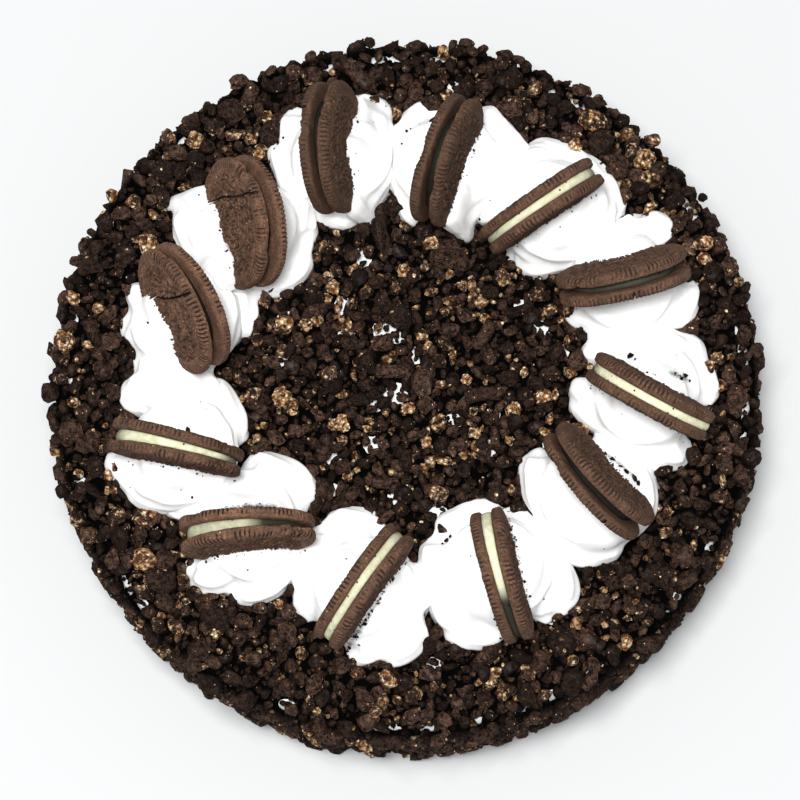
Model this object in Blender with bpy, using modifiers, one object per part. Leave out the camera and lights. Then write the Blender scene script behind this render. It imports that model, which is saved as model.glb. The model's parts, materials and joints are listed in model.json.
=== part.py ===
"""Cookies and cream cake.

A tall round cake, iced and coated all over in dark cookie crumbs. Twelve piped cream rosettes stand in a
ring on its top, and a sandwich cookie stands on edge in each of them.

The origin is the middle of the cake's flat base, +Z is up, and -Y is the side nearest the viewer.
"""

import math
import random
from collections import namedtuple

import bmesh
import bpy
import numpy as np
from mathutils import Euler, Matrix, Vector
from mathutils.geometry import closest_point_on_tri

MM = 0.001

# The cake: a nine inch sponge under its icing
CAKE_RADIUS = 116.0 * MM
CAKE_HEIGHT = 65.0 * MM
TOP_EDGE_RADIUS = 5.0 * MM
OUTLINE_POINTS = 120

# The crumb coat: a net of crags as wide as the crumbs, and the largest crumbs as pieces of their own
TOP_ROWS = 15
SIDE_ROWS = 10
CRAG_RISE = 4.8 * MM
CRAG_SHIFT = 1.6 * MM
HIDDEN_RING = (60.0 * MM, 95.0 * MM)
HIDDEN_RING_WEIGHT = 0.5
BASE_LIFT = 0.8 * MM
CRUMB_SPOTS = 176
CRUMB_LENGTH = (7.5 * MM, 12.0 * MM)
CRUMB_WIDTH_SHARE = (0.6, 0.85)
CRUMB_THICKNESS_SHARE = (0.5, 0.7)
CRUMB_CORNER_SHARE = (0.6, 1.0)
CRUMB_TILT = math.radians(25.0)
CRUMB_LIFT = 2.2 * MM
GOLDEN_ANGLE = math.pi * (3.0 - math.sqrt(5.0))

# A rosette: (radius, height) of each level of the swirl, from its foot up, before the lobes are added
ROSETTE_LEVELS = (
    (20.5 * MM, 0.0),
    (22.6 * MM, 5.5 * MM),
    (20.0 * MM, 12.0 * MM),
    (13.2 * MM, 18.2 * MM),
    (5.0 * MM, 22.0 * MM),
)
ROSETTE_TIP = 1.5 * MM
ROSETTE_LOBES = 9
ROSETTE_LOBE_DEPTH = 0.07
ROSETTE_TURN_PER_LEVEL = math.radians(22.0)
ROSETTE_SIZES = (0.97, 1.05)

# A cookie: two wafers, 44.5 mm across, with a thinner disc of filling between them
WAFER_RADIUS = 22.25 * MM
WAFER_THICKNESS = 4.0 * MM
WAFER_SIDES = 20
WAFER_BEVEL = 1.1 * MM
WAFER_DRAFT = 0.4 * MM
FILLING_RADIUS = 20.0 * MM
FILLING_THICKNESS = 2.0 * MM
FILLING_SIDES = 16
COOKIE_FOOT_ABOVE_CAKE = 3.0 * MM

# Pieces that touch keep this gap, so that no two solids share any space
GAP = 0.3 * MM

CAKE_SEED = 7
CRUMB_SEED = 21
ROSETTE_SEED = 12

# Where each cookie stands, clockwise from the back left: its angle round the cake and its distance out, the
# way its showing face points and how far that face looks up, the angle at which its wafers open towards the
# face's left, and the angle and distance out of the rosette that holds it. Angles are in degrees and
# distances in millimetres.
Place = namedtuple("Place", "angle out face lean splay cream_angle cream_out")
PLACES = (
    Place(108, 79, -2, 16, 1.5, 107, 79),
    Place(79, 72, -20, 9, -1.5, 79, 76),
    Place(51, 71, -56, -7, 1.0, 50, 76),
    Place(24, 78, 104, 20, -1.5, 24, 81),
    Place(-6, 80, 61, 14, 0.5, -5, 80),
    Place(-30, 72, 41, 19, -2.0, -33, 73),
    Place(-65, 74, 14, 8, 2.0, -65, 72),
    Place(-101, 72, -35, 0, 0.5, -102, 72),
    Place(-134, 74, -86, 2, -4.5, -135, 73),
    Place(-161, 79, -103, -4, -3.0, -163, 78),
    Place(164, 76, -150, 18, 3.0, 163, 76),
    Place(137, 73, -164, 26, 1.5, 135, 74),
)


def on_cake(angle, out, height=0.0):
    """The point at this angle in degrees and distance in millimetres from the cake's middle."""
    turned = math.radians(angle)
    return Vector((out * MM * math.cos(turned), out * MM * math.sin(turned), height))


ROSETTE_CENTRES = [on_cake(place.cream_angle, place.cream_out) for place in PLACES]
ROSETTE_REACH = ROSETTE_LEVELS[1][0] * (1.0 + ROSETTE_LOBE_DEPTH) * ROSETTE_SIZES[1]


def clear_scene():
    for obj in list(bpy.data.objects):
        bpy.data.objects.remove(obj)


def make_material(name, colour, roughness):
    material = bpy.data.materials.new(name)
    material.use_nodes = True
    shader = material.node_tree.nodes["Principled BSDF"]
    shader.inputs["Base Color"].default_value = (*colour, 1.0)
    shader.inputs["Roughness"].default_value = roughness
    shader.inputs["Metallic"].default_value = 0.0
    return material


def make_collection(name, shown=True):
    collection = bpy.data.collections.new(name)
    bpy.context.scene.collection.children.link(collection)
    collection.hide_render = not shown
    return collection


def make_object(name, mesh, collection, material=None):
    obj = bpy.data.objects.new(name, mesh)
    collection.objects.link(obj)
    if material and not mesh.materials:
        mesh.materials.append(material)
    return obj


def mesh_from(bm, name):
    mesh = bpy.data.meshes.new(name)
    bm.to_mesh(mesh)
    bm.free()
    return mesh


def apply_modifiers(obj):
    """Keeps the shape that the object's modifiers give it as its own mesh."""
    graph = bpy.context.evaluated_depsgraph_get()
    shaped = bpy.data.meshes.new_from_object(obj.evaluated_get(graph))
    obj.modifiers.clear()
    plain = obj.data
    obj.data = shaped
    bpy.data.meshes.remove(plain)


def add_boolean(obj, operation, collection):
    modifier = obj.modifiers.new(operation.lower(), "BOOLEAN")
    modifier.operation = operation
    modifier.operand_type = "COLLECTION"
    modifier.collection = collection
    modifier.solver = "EXACT"
    return modifier


class IcingOutline:
    """The icing's half outline, from the middle of the top, over the rounded edge and down to the base.

    A place on it is a share from 0 to 1, either of its length, less what the rosettes hide, or of its area.
    """

    def __init__(self):
        flat = np.linspace(0.0, CAKE_RADIUS - TOP_EDGE_RADIUS, OUTLINE_POINTS)
        bend = np.linspace(math.pi / 2, 0.0, OUTLINE_POINTS)
        wall = np.linspace(CAKE_HEIGHT - TOP_EDGE_RADIUS, 0.0, OUTLINE_POINTS)
        bend_radius = CAKE_RADIUS - TOP_EDGE_RADIUS + TOP_EDGE_RADIUS * np.cos(bend)
        bend_height = CAKE_HEIGHT - TOP_EDGE_RADIUS + TOP_EDGE_RADIUS * np.sin(bend)
        self.radius = np.concatenate([flat, bend_radius, np.full_like(wall, CAKE_RADIUS)])
        self.height = np.concatenate([np.full_like(flat, CAKE_HEIGHT), bend_height, wall])
        self.slope = np.concatenate([np.full_like(flat, math.pi / 2), bend, np.zeros_like(wall)])
        step = np.hypot(np.diff(self.radius), np.diff(self.height))
        middle = (self.radius[1:] + self.radius[:-1]) / 2
        hidden = (middle > HIDDEN_RING[0]) & (middle < HIDDEN_RING[1])
        self.length_share = self.running_share(step * np.where(hidden, HIDDEN_RING_WEIGHT, 1.0))
        self.area_share = self.running_share(step * middle)

    @staticmethod
    def running_share(amounts):
        return np.concatenate([[0.0], np.cumsum(amounts)]) / amounts.sum()

    def at(self, shares, share, angle):
        """The point on the icing at this share of its length or area, and the way the icing faces there."""
        radius = float(np.interp(share, shares, self.radius))
        height = float(np.interp(share, shares, self.height))
        slope = float(np.interp(share, shares, self.slope))
        spoke = Vector((math.cos(angle), math.sin(angle), 0.0))
        facing = spoke * math.cos(slope) + Vector((0.0, 0.0, math.sin(slope)))
        return spoke * radius + Vector((0.0, 0.0, height)), facing


def under_a_rosette(face):
    """Whether any of the face lies under a rosette, seen from above."""
    corners = [Vector((v.co.x, v.co.y, 0.0)) for v in face.verts]
    if max(v.co.z for v in face.verts) < CAKE_HEIGHT - TOP_EDGE_RADIUS:
        return False
    return any(
        (closest_point_on_tri(centre, *corners) - centre).length < ROSETTE_REACH + 2 * GAP
        for centre in ROSETTE_CENTRES
    )


def netted_disc():
    """A six-sided net of even triangles with rows of points round it, and each point's row.

    The outermost rows are drawn down as a skirt, each half a step round from the one above.
    """
    bm = bmesh.new()
    bmesh.ops.create_circle(bm, cap_ends=True, cap_tris=True, radius=1.0, segments=6)
    bmesh.ops.subdivide_edges(bm, edges=bm.edges[:], cuts=TOP_ROWS - 1, use_grid_fill=True)
    sides = [Vector((math.cos(angle), math.sin(angle), 0.0)) for angle in np.radians(range(0, 360, 60))]
    side_distance = math.cos(math.radians(30.0))
    rows = {v: max(v.co.dot(side) for side in sides) / side_distance * TOP_ROWS for v in bm.verts}
    edges = [e for e in bm.edges if e.is_boundary]
    half_step = Matrix.Rotation(math.pi / (6 * TOP_ROWS), 3, "Z")
    for row in range(TOP_ROWS + 1, TOP_ROWS + SIDE_ROWS + 1):
        drawn = bmesh.ops.extrude_edge_only(bm, edges=edges)["geom"]
        ring = [item for item in drawn if isinstance(item, bmesh.types.BMVert)]
        edges = [item for item in drawn if isinstance(item, bmesh.types.BMEdge)]
        bmesh.ops.rotate(bm, verts=ring, matrix=half_step)
        rows.update(dict.fromkeys(ring, row))
    return bm, rows


def relief_mesh(outline):
    """The whole cake under its coat: a net of triangles laid over the icing, with a crag at each crossing."""
    draw = random.Random(CAKE_SEED)
    bm, rows = netted_disc()
    facings = {}
    for v, row in rows.items():
        share = row / (TOP_ROWS + SIDE_ROWS)
        v.co, facings[v] = outline.at(outline.length_share, share, math.atan2(v.co.y, v.co.x))
    bmesh.ops.triangulate(bm, faces=bm.faces[:], quad_method="SHORT_EDGE")
    foot = {v for v in bm.verts if v.is_boundary}
    flat = {v for face in bm.faces if under_a_rosette(face) for v in face.verts}
    for v, facing in facings.items():
        if v in flat:
            continue
        rise = facing * draw.random() * CRAG_RISE
        if v in foot:
            v.co += rise
            v.co.z = 0.0
            continue
        shift = Vector([draw.uniform(-CRAG_SHIFT, CRAG_SHIFT) for _ in range(3)])
        v.co += rise + shift - facing * shift.dot(facing)
        v.co.z = max(v.co.z, BASE_LIFT)
    bmesh.ops.contextual_create(bm, geom=[e for e in bm.edges if e.is_boundary])
    bmesh.ops.recalc_face_normals(bm, faces=bm.faces[:])
    return mesh_from(bm, "cake")


def crumb_mesh(draw):
    """One broken crumb, an uneven block longer than it is wide."""
    length = draw.uniform(*CRUMB_LENGTH)
    sides = (length, length * draw.uniform(*CRUMB_WIDTH_SHARE), length * draw.uniform(*CRUMB_THICKNESS_SHARE))
    bm = bmesh.new()
    bmesh.ops.create_cube(bm, size=1.0)
    for v in bm.verts:
        v.co = Vector([at * side * draw.uniform(*CRUMB_CORNER_SHARE) for at, side in zip(v.co, sides)])
    bmesh.ops.triangulate(bm, faces=bm.faces[:])
    return mesh_from(bm, "crumb")


def scatter_crumbs(outline, collection):
    """The largest crumbs, spread evenly over the coat by the golden angle and kept off the rosettes."""
    draw = random.Random(CRUMB_SEED)
    for index in range(CRUMB_SPOTS):
        mesh = crumb_mesh(draw)
        tilt = (draw.uniform(-CRUMB_TILT, CRUMB_TILT), draw.uniform(-CRUMB_TILT, CRUMB_TILT))
        turn = Euler((*tilt, draw.uniform(0.0, 2.0 * math.pi))).to_matrix().to_4x4()
        reach = max(v.co.length for v in mesh.vertices)
        share = (index + 0.5) / CRUMB_SPOTS
        point, facing = outline.at(outline.area_share, share, index * GOLDEN_ANGLE)
        level = Vector((point.x, point.y, 0.0))
        nearest = min((level - centre).length for centre in ROSETTE_CENTRES)
        covered = point.z > CAKE_HEIGHT - TOP_EDGE_RADIUS and nearest < ROSETTE_REACH + reach + 2 * GAP
        if covered or point.z < reach + BASE_LIFT:
            continue
        crumb = make_object(f"crumb_{index:02d}", mesh, collection)
        lying = facing.to_track_quat("Z", "Y").to_matrix().to_4x4()
        crumb.matrix_world = Matrix.Translation(point + facing * CRUMB_LIFT) @ lying @ turn


def build_cake(parts, material):
    """The iced cake in its crumb coat, joined into one solid."""
    outline = IcingOutline()
    cake = make_object("cake", relief_mesh(outline), parts, material)
    crumbs = make_collection("crumbs", shown=False)
    scatter_crumbs(outline, crumbs)
    add_boolean(cake, "UNION", crumbs)
    apply_modifiers(cake)
    for crumb in list(crumbs.objects):
        bpy.data.objects.remove(crumb)
    bpy.data.collections.remove(crumbs)


def swirl_mesh(size, turn):
    """A star nozzle's swirl: a lobed ring drawn up level by level, each turned on from the one below."""
    bm = bmesh.new()
    ring = bmesh.ops.create_circle(bm, radius=ROSETTE_LEVELS[0][0], segments=2 * ROSETTE_LOBES)["verts"]
    for index, v in enumerate(ring):
        v.co *= 1.0 + ROSETTE_LOBE_DEPTH * (1 if index % 2 else -1)
    edges = bm.edges[:]
    bmesh.ops.contextual_create(bm, geom=edges)
    for (lower_radius, lower), (radius, height) in zip(ROSETTE_LEVELS, ROSETTE_LEVELS[1:]):
        drawn = bmesh.ops.extrude_edge_only(bm, edges=edges)["geom"]
        ring = [item for item in drawn if isinstance(item, bmesh.types.BMVert)]
        edges = [item for item in drawn if isinstance(item, bmesh.types.BMEdge)]
        shrink = radius / lower_radius
        bmesh.ops.scale(bm, verts=ring, vec=(shrink, shrink, 1.0))
        bmesh.ops.rotate(bm, verts=ring, matrix=Matrix.Rotation(ROSETTE_TURN_PER_LEVEL, 3, "Z"))
        bmesh.ops.translate(bm, verts=ring, vec=(0.0, 0.0, height - lower))
    top = bmesh.ops.contextual_create(bm, geom=edges)["faces"]
    tip = bmesh.ops.poke(bm, faces=top)["verts"][0]
    tip.co.z += ROSETTE_TIP
    bmesh.ops.transform(bm, verts=bm.verts[:], matrix=Matrix.Rotation(turn, 4, "Z") @ Matrix.Scale(size, 4))
    bmesh.ops.triangulate(bm, faces=bm.faces[:])
    bmesh.ops.recalc_face_normals(bm, faces=bm.faces[:])
    return bm


def press_flat(bm, centre, neighbour):
    """Trims a swirl where it presses against the next one round."""
    across = (neighbour - centre).normalized()
    bmesh.ops.bisect_plane(
        bm,
        geom=bm.verts[:] + bm.edges[:] + bm.faces[:],
        plane_co=(centre + neighbour) / 2 - across * GAP / 2,
        plane_no=across,
        clear_outer=True,
    )
    edge = [e for e in bm.edges if e.is_boundary]
    if edge:
        bmesh.ops.holes_fill(bm, edges=edge)


def build_rosettes(parts, cutters, material):
    draw = random.Random(ROSETTE_SEED)
    count = len(PLACES)
    for index, centre in enumerate(ROSETTE_CENTRES):
        bm = swirl_mesh(draw.uniform(*ROSETTE_SIZES), draw.uniform(0.0, math.pi))
        bmesh.ops.translate(bm, verts=bm.verts[:], vec=centre + Vector((0.0, 0.0, CAKE_HEIGHT + GAP)))
        for neighbour in (ROSETTE_CENTRES[index - 1], ROSETTE_CENTRES[(index + 1) % count]):
            press_flat(bm, centre, neighbour)
        rosette = make_object(f"rosette_{index + 1:02d}", mesh_from(bm, "rosette"), parts, material)
        add_boolean(rosette, "DIFFERENCE", cutters)


def turned_mesh(name, outline, sides):
    """Turns an outline of (radius, height) points, from the top down its outer side, into a closed solid."""
    bm = bmesh.new()
    points = [bm.verts.new((radius, 0.0, height)) for radius, height in outline]
    for first, second in zip(points, points[1:]):
        bm.edges.new((first, second))
    lathe = bpy.data.objects.new(name, mesh_from(bm, name))
    bpy.context.scene.collection.objects.link(lathe)
    screw = lathe.modifiers.new("turn", "SCREW")
    screw.steps = screw.render_steps = sides
    screw.use_merge_vertices = True
    screw.merge_threshold = 0.01 * MM
    apply_modifiers(lathe)
    mesh = lathe.data
    bpy.data.objects.remove(lathe)
    return mesh


def wafer_mesh():
    """A wafer lying on its inner face, its side drawn in a little towards that face as from a mould."""
    outline = (
        (0.0, WAFER_THICKNESS),
        (WAFER_RADIUS - WAFER_BEVEL, WAFER_THICKNESS),
        (WAFER_RADIUS, WAFER_THICKNESS - WAFER_BEVEL),
        (WAFER_RADIUS - WAFER_DRAFT, 0.0),
        (0.0, 0.0),
    )
    return turned_mesh("wafer", outline, WAFER_SIDES)


def filling_mesh(splay):
    """A disc of filling, thicker at +X where the wafers stand open."""
    bm = bmesh.new()
    bmesh.ops.create_cone(
        bm,
        cap_ends=True,
        segments=FILLING_SIDES,
        radius1=FILLING_RADIUS,
        radius2=FILLING_RADIUS,
        depth=FILLING_THICKNESS,
    )
    half_thickness = FILLING_THICKNESS / 2
    for v in bm.verts:
        v.co.z *= 1.0 + v.co.x * math.tan(splay / 2) / half_thickness
    return mesh_from(bm, "filling")


def cutter_mesh(splay):
    """The room that a whole cookie takes in the cream, with the gap left round it."""
    reach = WAFER_RADIUS + GAP
    half = FILLING_THICKNESS / 2 + WAFER_THICKNESS + 2 * GAP + reach * abs(math.tan(splay / 2))
    bm = bmesh.new()
    bmesh.ops.create_cone(
        bm, cap_ends=True, segments=WAFER_SIDES, radius1=reach, radius2=reach, depth=2 * half
    )
    return mesh_from(bm, "cookie_room")


def cookie_frame(place):
    """Where a cookie stands: +Z out of its showing face, +Y up its height, and +X level."""
    lean = math.radians(place.lean)
    face = math.radians(place.face)
    outward = Vector((math.cos(lean) * math.cos(face), math.cos(lean) * math.sin(face), math.sin(lean)))
    level = Vector((-math.sin(face), math.cos(face), 0.0))
    turned = Matrix((level, outward.cross(level), outward)).transposed()
    half_thickness = FILLING_THICKNESS / 2 + GAP + WAFER_THICKNESS
    foot = WAFER_RADIUS * math.cos(lean) + half_thickness * abs(math.sin(lean))
    centre = on_cake(place.angle, place.out, CAKE_HEIGHT + COOKIE_FOOT_ABOVE_CAKE + foot)
    return Matrix.Translation(centre) @ turned.to_4x4()


def build_cookie(number, place, parts, cutters, materials, wafer):
    """A cookie's two wafers and its filling, under one empty, and the room it takes in the cream."""
    frame = cookie_frame(place)
    splay = math.radians(place.splay)
    stand = bpy.data.objects.new(f"cookie_{number:02d}", None)
    parts.objects.link(stand)
    stand.matrix_world = frame
    inner_face = Matrix.Translation((0.0, 0.0, FILLING_THICKNESS / 2 + GAP))
    turned_over = Matrix.Rotation(math.pi, 4, "X")
    for side, way, flip in (("front", 1, Matrix.Identity(4)), ("back", -1, turned_over)):
        obj = make_object(f"cookie_{number:02d}_wafer_{side}", wafer, parts, materials["wafer"])
        obj.parent = stand
        obj.matrix_local = Matrix.Rotation(-way * splay / 2, 4, "Y") @ flip @ inner_face
    filling = make_object(f"cookie_{number:02d}_filling", filling_mesh(splay), parts, materials["filling"])
    filling.parent = stand
    cutter = make_object(f"cookie_{number:02d}_room", cutter_mesh(splay), cutters)
    cutter.matrix_world = frame
    cutter.hide_render = True
    cutter.display_type = "WIRE"


def build():
    clear_scene()
    materials = {
        "crumb_coat": make_material("crumb_coat", (0.030, 0.017, 0.012), 0.75),
        "whipped_cream": make_material("whipped_cream", (0.90, 0.89, 0.87), 0.45),
        "wafer": make_material("wafer", (0.055, 0.028, 0.018), 0.7),
        "filling": make_material("filling", (0.80, 0.80, 0.66), 0.5),
    }
    parts = make_collection("cookies_and_cream_cake")
    cutters = make_collection("cookie_rooms", shown=False)
    build_cake(parts, materials["crumb_coat"])
    wafer = wafer_mesh()
    for number, place in enumerate(PLACES, start=1):
        build_cookie(number, place, parts, cutters, materials, wafer)
    build_rosettes(parts, cutters, materials["whipped_cream"])


build()
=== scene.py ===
"""Dresses the cookies and cream cake: icing, crumbs, piped rosettes and cookies, in a plain studio."""

import json
import math
import random
from collections import namedtuple

import bmesh
import bpy
import numpy as np
from bpy.props import FloatProperty, FloatVectorProperty, IntProperty, PointerProperty
from mathutils import Euler, Matrix, Vector, noise
from mathutils.bvhtree import BVHTree

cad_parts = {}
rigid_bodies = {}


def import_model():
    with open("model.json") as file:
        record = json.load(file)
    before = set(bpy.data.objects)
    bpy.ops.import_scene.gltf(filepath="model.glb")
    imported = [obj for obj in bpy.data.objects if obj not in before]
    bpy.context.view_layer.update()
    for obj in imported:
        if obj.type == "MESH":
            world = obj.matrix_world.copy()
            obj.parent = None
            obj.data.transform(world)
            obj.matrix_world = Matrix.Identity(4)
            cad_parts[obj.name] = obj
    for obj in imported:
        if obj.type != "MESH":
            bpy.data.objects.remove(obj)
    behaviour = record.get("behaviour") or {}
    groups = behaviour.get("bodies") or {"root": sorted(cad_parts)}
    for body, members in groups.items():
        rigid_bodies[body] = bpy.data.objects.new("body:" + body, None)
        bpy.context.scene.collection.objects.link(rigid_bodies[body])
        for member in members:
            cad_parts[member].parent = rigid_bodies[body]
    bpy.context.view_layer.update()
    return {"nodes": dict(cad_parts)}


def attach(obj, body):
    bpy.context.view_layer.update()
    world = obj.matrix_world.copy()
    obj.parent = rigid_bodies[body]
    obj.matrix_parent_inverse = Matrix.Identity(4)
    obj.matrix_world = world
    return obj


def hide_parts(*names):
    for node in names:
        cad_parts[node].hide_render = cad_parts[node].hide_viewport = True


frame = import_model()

bl_info = {
    "name": "Cookies and cream cake",
    "version": (1, 0, 0),
    "blender": (4, 5, 0),
    "location": "3D View > Sidebar > Cake",
    "description": "Ices, coats, pipes and decorates a cookies and cream cake",
    "category": "Object",
}

MM = 0.001
UP = Vector((0.0, 0.0, 1.0))
TURN = 2.0 * math.pi

# The cake under its coat
CAKE_RADIUS = 116.0 * MM
CAKE_HEIGHT = 65.0 * MM
TOP_EDGE_RADIUS = 5.0 * MM
COAT_REACH = 121.9 * MM

# The way over the icing from its top's middle: along the flat, round the bend and down the wall
FLAT = CAKE_RADIUS - TOP_EDGE_RADIUS
BEND = TOP_EDGE_RADIUS * math.pi / 2
WALL = CAKE_HEIGHT - TOP_EDGE_RADIUS

# A wafer's thickness, the depth of its pattern, the depth of the notches in its side and round its face, and
# how far out the pattern goes, in millimetres
WAFER_THICKNESS = 4.0 * MM
PATTERN_DEPTH = 1.0 * MM
SIDE_NOTCH = 0.8 * MM
FACE_NOTCH = 0.5 * MM
EMBOSSED_RADIUS = 17.2
COOKIES = range(1, 13)
SIDES = ("front", "back")

# Where each step's random draws start
SEEDS = {"coat": 5, "cream": 8, "cookies": 31, "flecks": 77}

# Each rosette: its angle round the cake in degrees, its distance out and its half width in millimetres, the
# angle at which its piping starts, and which way it is wound
Swirl = namedtuple("Swirl", "angle out reach start way")
SWIRLS = (
    Swirl(107, 79, 22.0, 150, -1),
    Swirl(79, 76, 21.5, 120, 1),
    Swirl(50, 76, 22.5, 70, -1),
    Swirl(24, 81, 21.5, 60, 1),
    Swirl(-5, 80, 22.0, -20, 1),
    Swirl(-33, 73, 23.0, -60, 1),
    Swirl(-65, 72, 22.5, -90, -1),
    Swirl(-102, 72, 21.5, -120, 1),
    Swirl(-135, 73, 22.0, -150, -1),
    Swirl(-163, 78, 22.5, 170, 1),
    Swirl(163, 76, 22.0, 140, 1),
    Swirl(135, 74, 21.5, 100, 1),
)

# The strokes of cream that give the rosettes their lobes and folds, in millimetres: the width, then (x, y,
# height of the cream's top above the cake) at the start, the bend and the end
STROKES = (
    (12, (-37, 93, 9), (-38, 84, 12), (-34, 72, 15)),
    (10, (-43, 82, 8), (-41, 74, 10), (-35, 62, 13)),
    (13, (-13, 93, 10), (-5, 76, 14), (-17, 59, 10)),
    (9, (-6, 91, 7), (-12, 96, 8), (-17, 95, 9)),
    (8, (-18, 57, 7), (-24, 56, 7), (-31, 59, 9)),
    (13, (-37, 64, 13), (-38, 54, 13), (-34, 47, 10)),
    (9, (-34, 43, 9), (-38, 34, 7), (-50, 33, 7)),
    (15, (-71, 60, 11), (-73, 50, 14), (-62, 43, 16)),
    (7, (-69, 66, 5), (-68, 61, 9), (-65, 56, 12)),
    (13, (-68, 40, 12), (-56, 33, 12), (-54, 17, 8)),
    (10, (-64, 30, 11), (-60, 22, 12), (-59, 13, 9)),
    (8, (-91, 34, 5), (-90, 27, 10), (-86, 22, 14)),
    (11, (-94, 20, 8), (-86, 18, 13), (-80, 8, 14)),
    (14, (-87, 12, 10), (-82, 4, 12), (-72, 5, 12)),
    (16, (-92, -7, 11), (-80, 4, 16), (-61, -9, 13)),
    (11, (-66, -2, 12), (-57, -9, 11), (-57, -20, 8)),
    (9, (-98, -24, 7), (-93, -33, 10), (-84, -36, 11)),
    (11, (-91, -34, 9), (-82, -41, 9), (-72, -38, 13)),
    (10, (-80, -41, 8), (-68, -42, 10), (-58, -35, 14)),
    (13, (-52, -29, 8), (-42, -28, 12), (-32, -39, 10)),
    (12, (-60, -36, 13), (-46, -34, 14), (-34, -43, 10)),
    (15, (-70, -61, 8), (-62, -66, 13), (-55, -58, 16)),
    (14, (-57, -68, 9), (-46, -68, 13), (-40, -60, 14)),
    (9, (-36, -57, 12), (-32, -68, 11), (-33, -79, 6)),
    (15, (-26, -49, 10), (-28, -61, 16), (-21, -67, 17)),
    (11, (-25, -48, 9), (-16, -46, 10), (-9, -49, 8)),
    (11, (-18, -90, 7), (-10, -89, 9), (-4, -80, 13)),
    (11, (-8, -90, 7), (2, -90, 9), (3, -80, 12)),
    (15, (-4, -76, 13), (4, -72, 12), (4, -62, 9)),
    (12, (10, -53, 8), (9, -62, 13), (16, -72, 15)),
    (9, (11, -50, 8), (19, -44, 9), (30, -42, 8)),
    (15, (15, -62, 14), (12, -74, 13), (20, -80, 12)),
    (10, (14, -82, 7), (22, -86, 8), (30, -83, 9)),
    (8, (35, -43, 5), (38, -46, 6), (43, -50, 9)),
    (13, (45, -24, 8), (42, -34, 14), (49, -45, 14)),
    (12, (52, -30, 14), (56, -42, 17), (66, -50, 12)),
    (14, (41, -53, 12), (52, -53, 12), (64, -56, 8)),
    (9, (70, -53, 8), (64, -58, 8), (54, -58, 9)),
    (13, (43, -62, 13), (53, -64, 11), (50, -76, 8)),
    (9, (46, -66, 12), (44, -74, 11), (46, -79, 7)),
    (8, (78, -27, 10), (78, -33, 9), (82, -39, 4)),
    (13, (76, -23, 12), (84, -25, 11), (93, -21, 8)),
    (8, (56, 0, 9), (62, -9, 13), (77, -12, 15)),
    (9, (56, -6, 7), (64, -15, 10), (80, -18, 13)),
    (8, (64, -16, 7), (69, -23, 8), (78, -24, 10)),
    (9, (95, 7, 10), (101, 2, 8), (100, -6, 6)),
    (14, (78, 16, 13), (87, 10, 13), (95, 9, 9)),
    (9, (93, 15, 8), (97, 10, 8), (97, 4, 8)),
    (8, (71, 12, 12), (62, 13, 9), (61, 6, 6)),
    (11, (69, 15, 10), (74, 13, 12), (80, 12, 10)),
    (9, (55, 26, 7), (60, 20, 9), (72, 20, 13)),
    (14, (68, 21, 13), (80, 22, 15), (90, 29, 11)),
    (9, (94, 35, 7), (95, 27, 9), (90, 20, 10)),
    (12, (70, 47, 13), (77, 51, 12), (77, 56, 7)),
    (9, (80, 55, 8), (86, 54, 9), (87, 50, 8)),
    (13, (38, 42, 7), (52, 42, 13), (64, 52, 15)),
    (12, (44, 48, 13), (58, 50, 16), (70, 50, 12)),
    (11, (70, 57, 9), (68, 68, 8), (58, 77, 7)),
    (9, (68, 62, 9), (62, 62, 13), (58, 58, 16)),
    (10, (62, 74, 7), (52, 79, 8), (42, 80, 9)),
    (12, (50, 75, 12), (42, 77, 13), (38, 70, 15)),
    (7, (30, 76, 14), (24, 66, 13), (17, 58, 8)),
    (6, (34, 74, 14), (28, 64, 13), (20, 55, 7)),
    (7, (38, 72, 14), (33, 64, 13), (25, 55, 7)),
    (13, (30, 84, 12), (34, 78, 14), (42, 72, 14)),
    (10, (24, 93, 7), (31, 89, 9), (33, 82, 12)),
    (11, (4, 94, 9), (3, 84, 12), (0, 74, 10)),
    (7, (2, 93, 8), (9, 94, 8), (13, 93, 7)),
    (12, (-2, 87, 9), (-2, 76, 9), (0, 66, 9)),
    (8, (0, 66, 9), (-1, 58, 8), (6, 57, 6)),
)

# Where the cream climbs a wafer's face: its edge as (across, up) from the face's middle, in millimetres
SLOPES = {
    (1, "front"): ((16, -6), (8, -2.5), (1, 2), (-7, -6), (-15, -6)),
    (2, "front"): ((14, -11), (7, -7.5), (1, -2.5), (-7, -3), (-15, -3)),
    (12, "front"): ((-14, -9), (-6, -4.5), (1, -6), (8, -2), (15, -4.5)),
}

# The way that the fine streaks run on each rosette, as an angle in degrees
HEADINGS = (60, -50, -40, 15, -35, -60, -80, 40, -10, -15, 50, 70)

# Smudges of fine crumb dust and painted shade on the cream by the cookies: (x, y) of both ends, half width,
# and how thick the dust and shade are
DUST_AND_SHADE_SMUDGES = (
    (-59, -44.8, -50, -44.2, 1.9, 0.6), (-52, -44.2, -43, -44.0, 2.8, 0.72),
    (-46, -43.8, -38, -45.2, 1.6, 0.5), (-8.4, -74.4, -13, -80, 1.6, 0.5),
    (-12, -79.5, -19, -88.4, 2.2, 0.62), (87.5, 0.3, 92, -0.8, 2.6, 0.6), (64.5, -25, 75, -34, 1.6, 0.5),
)

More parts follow.
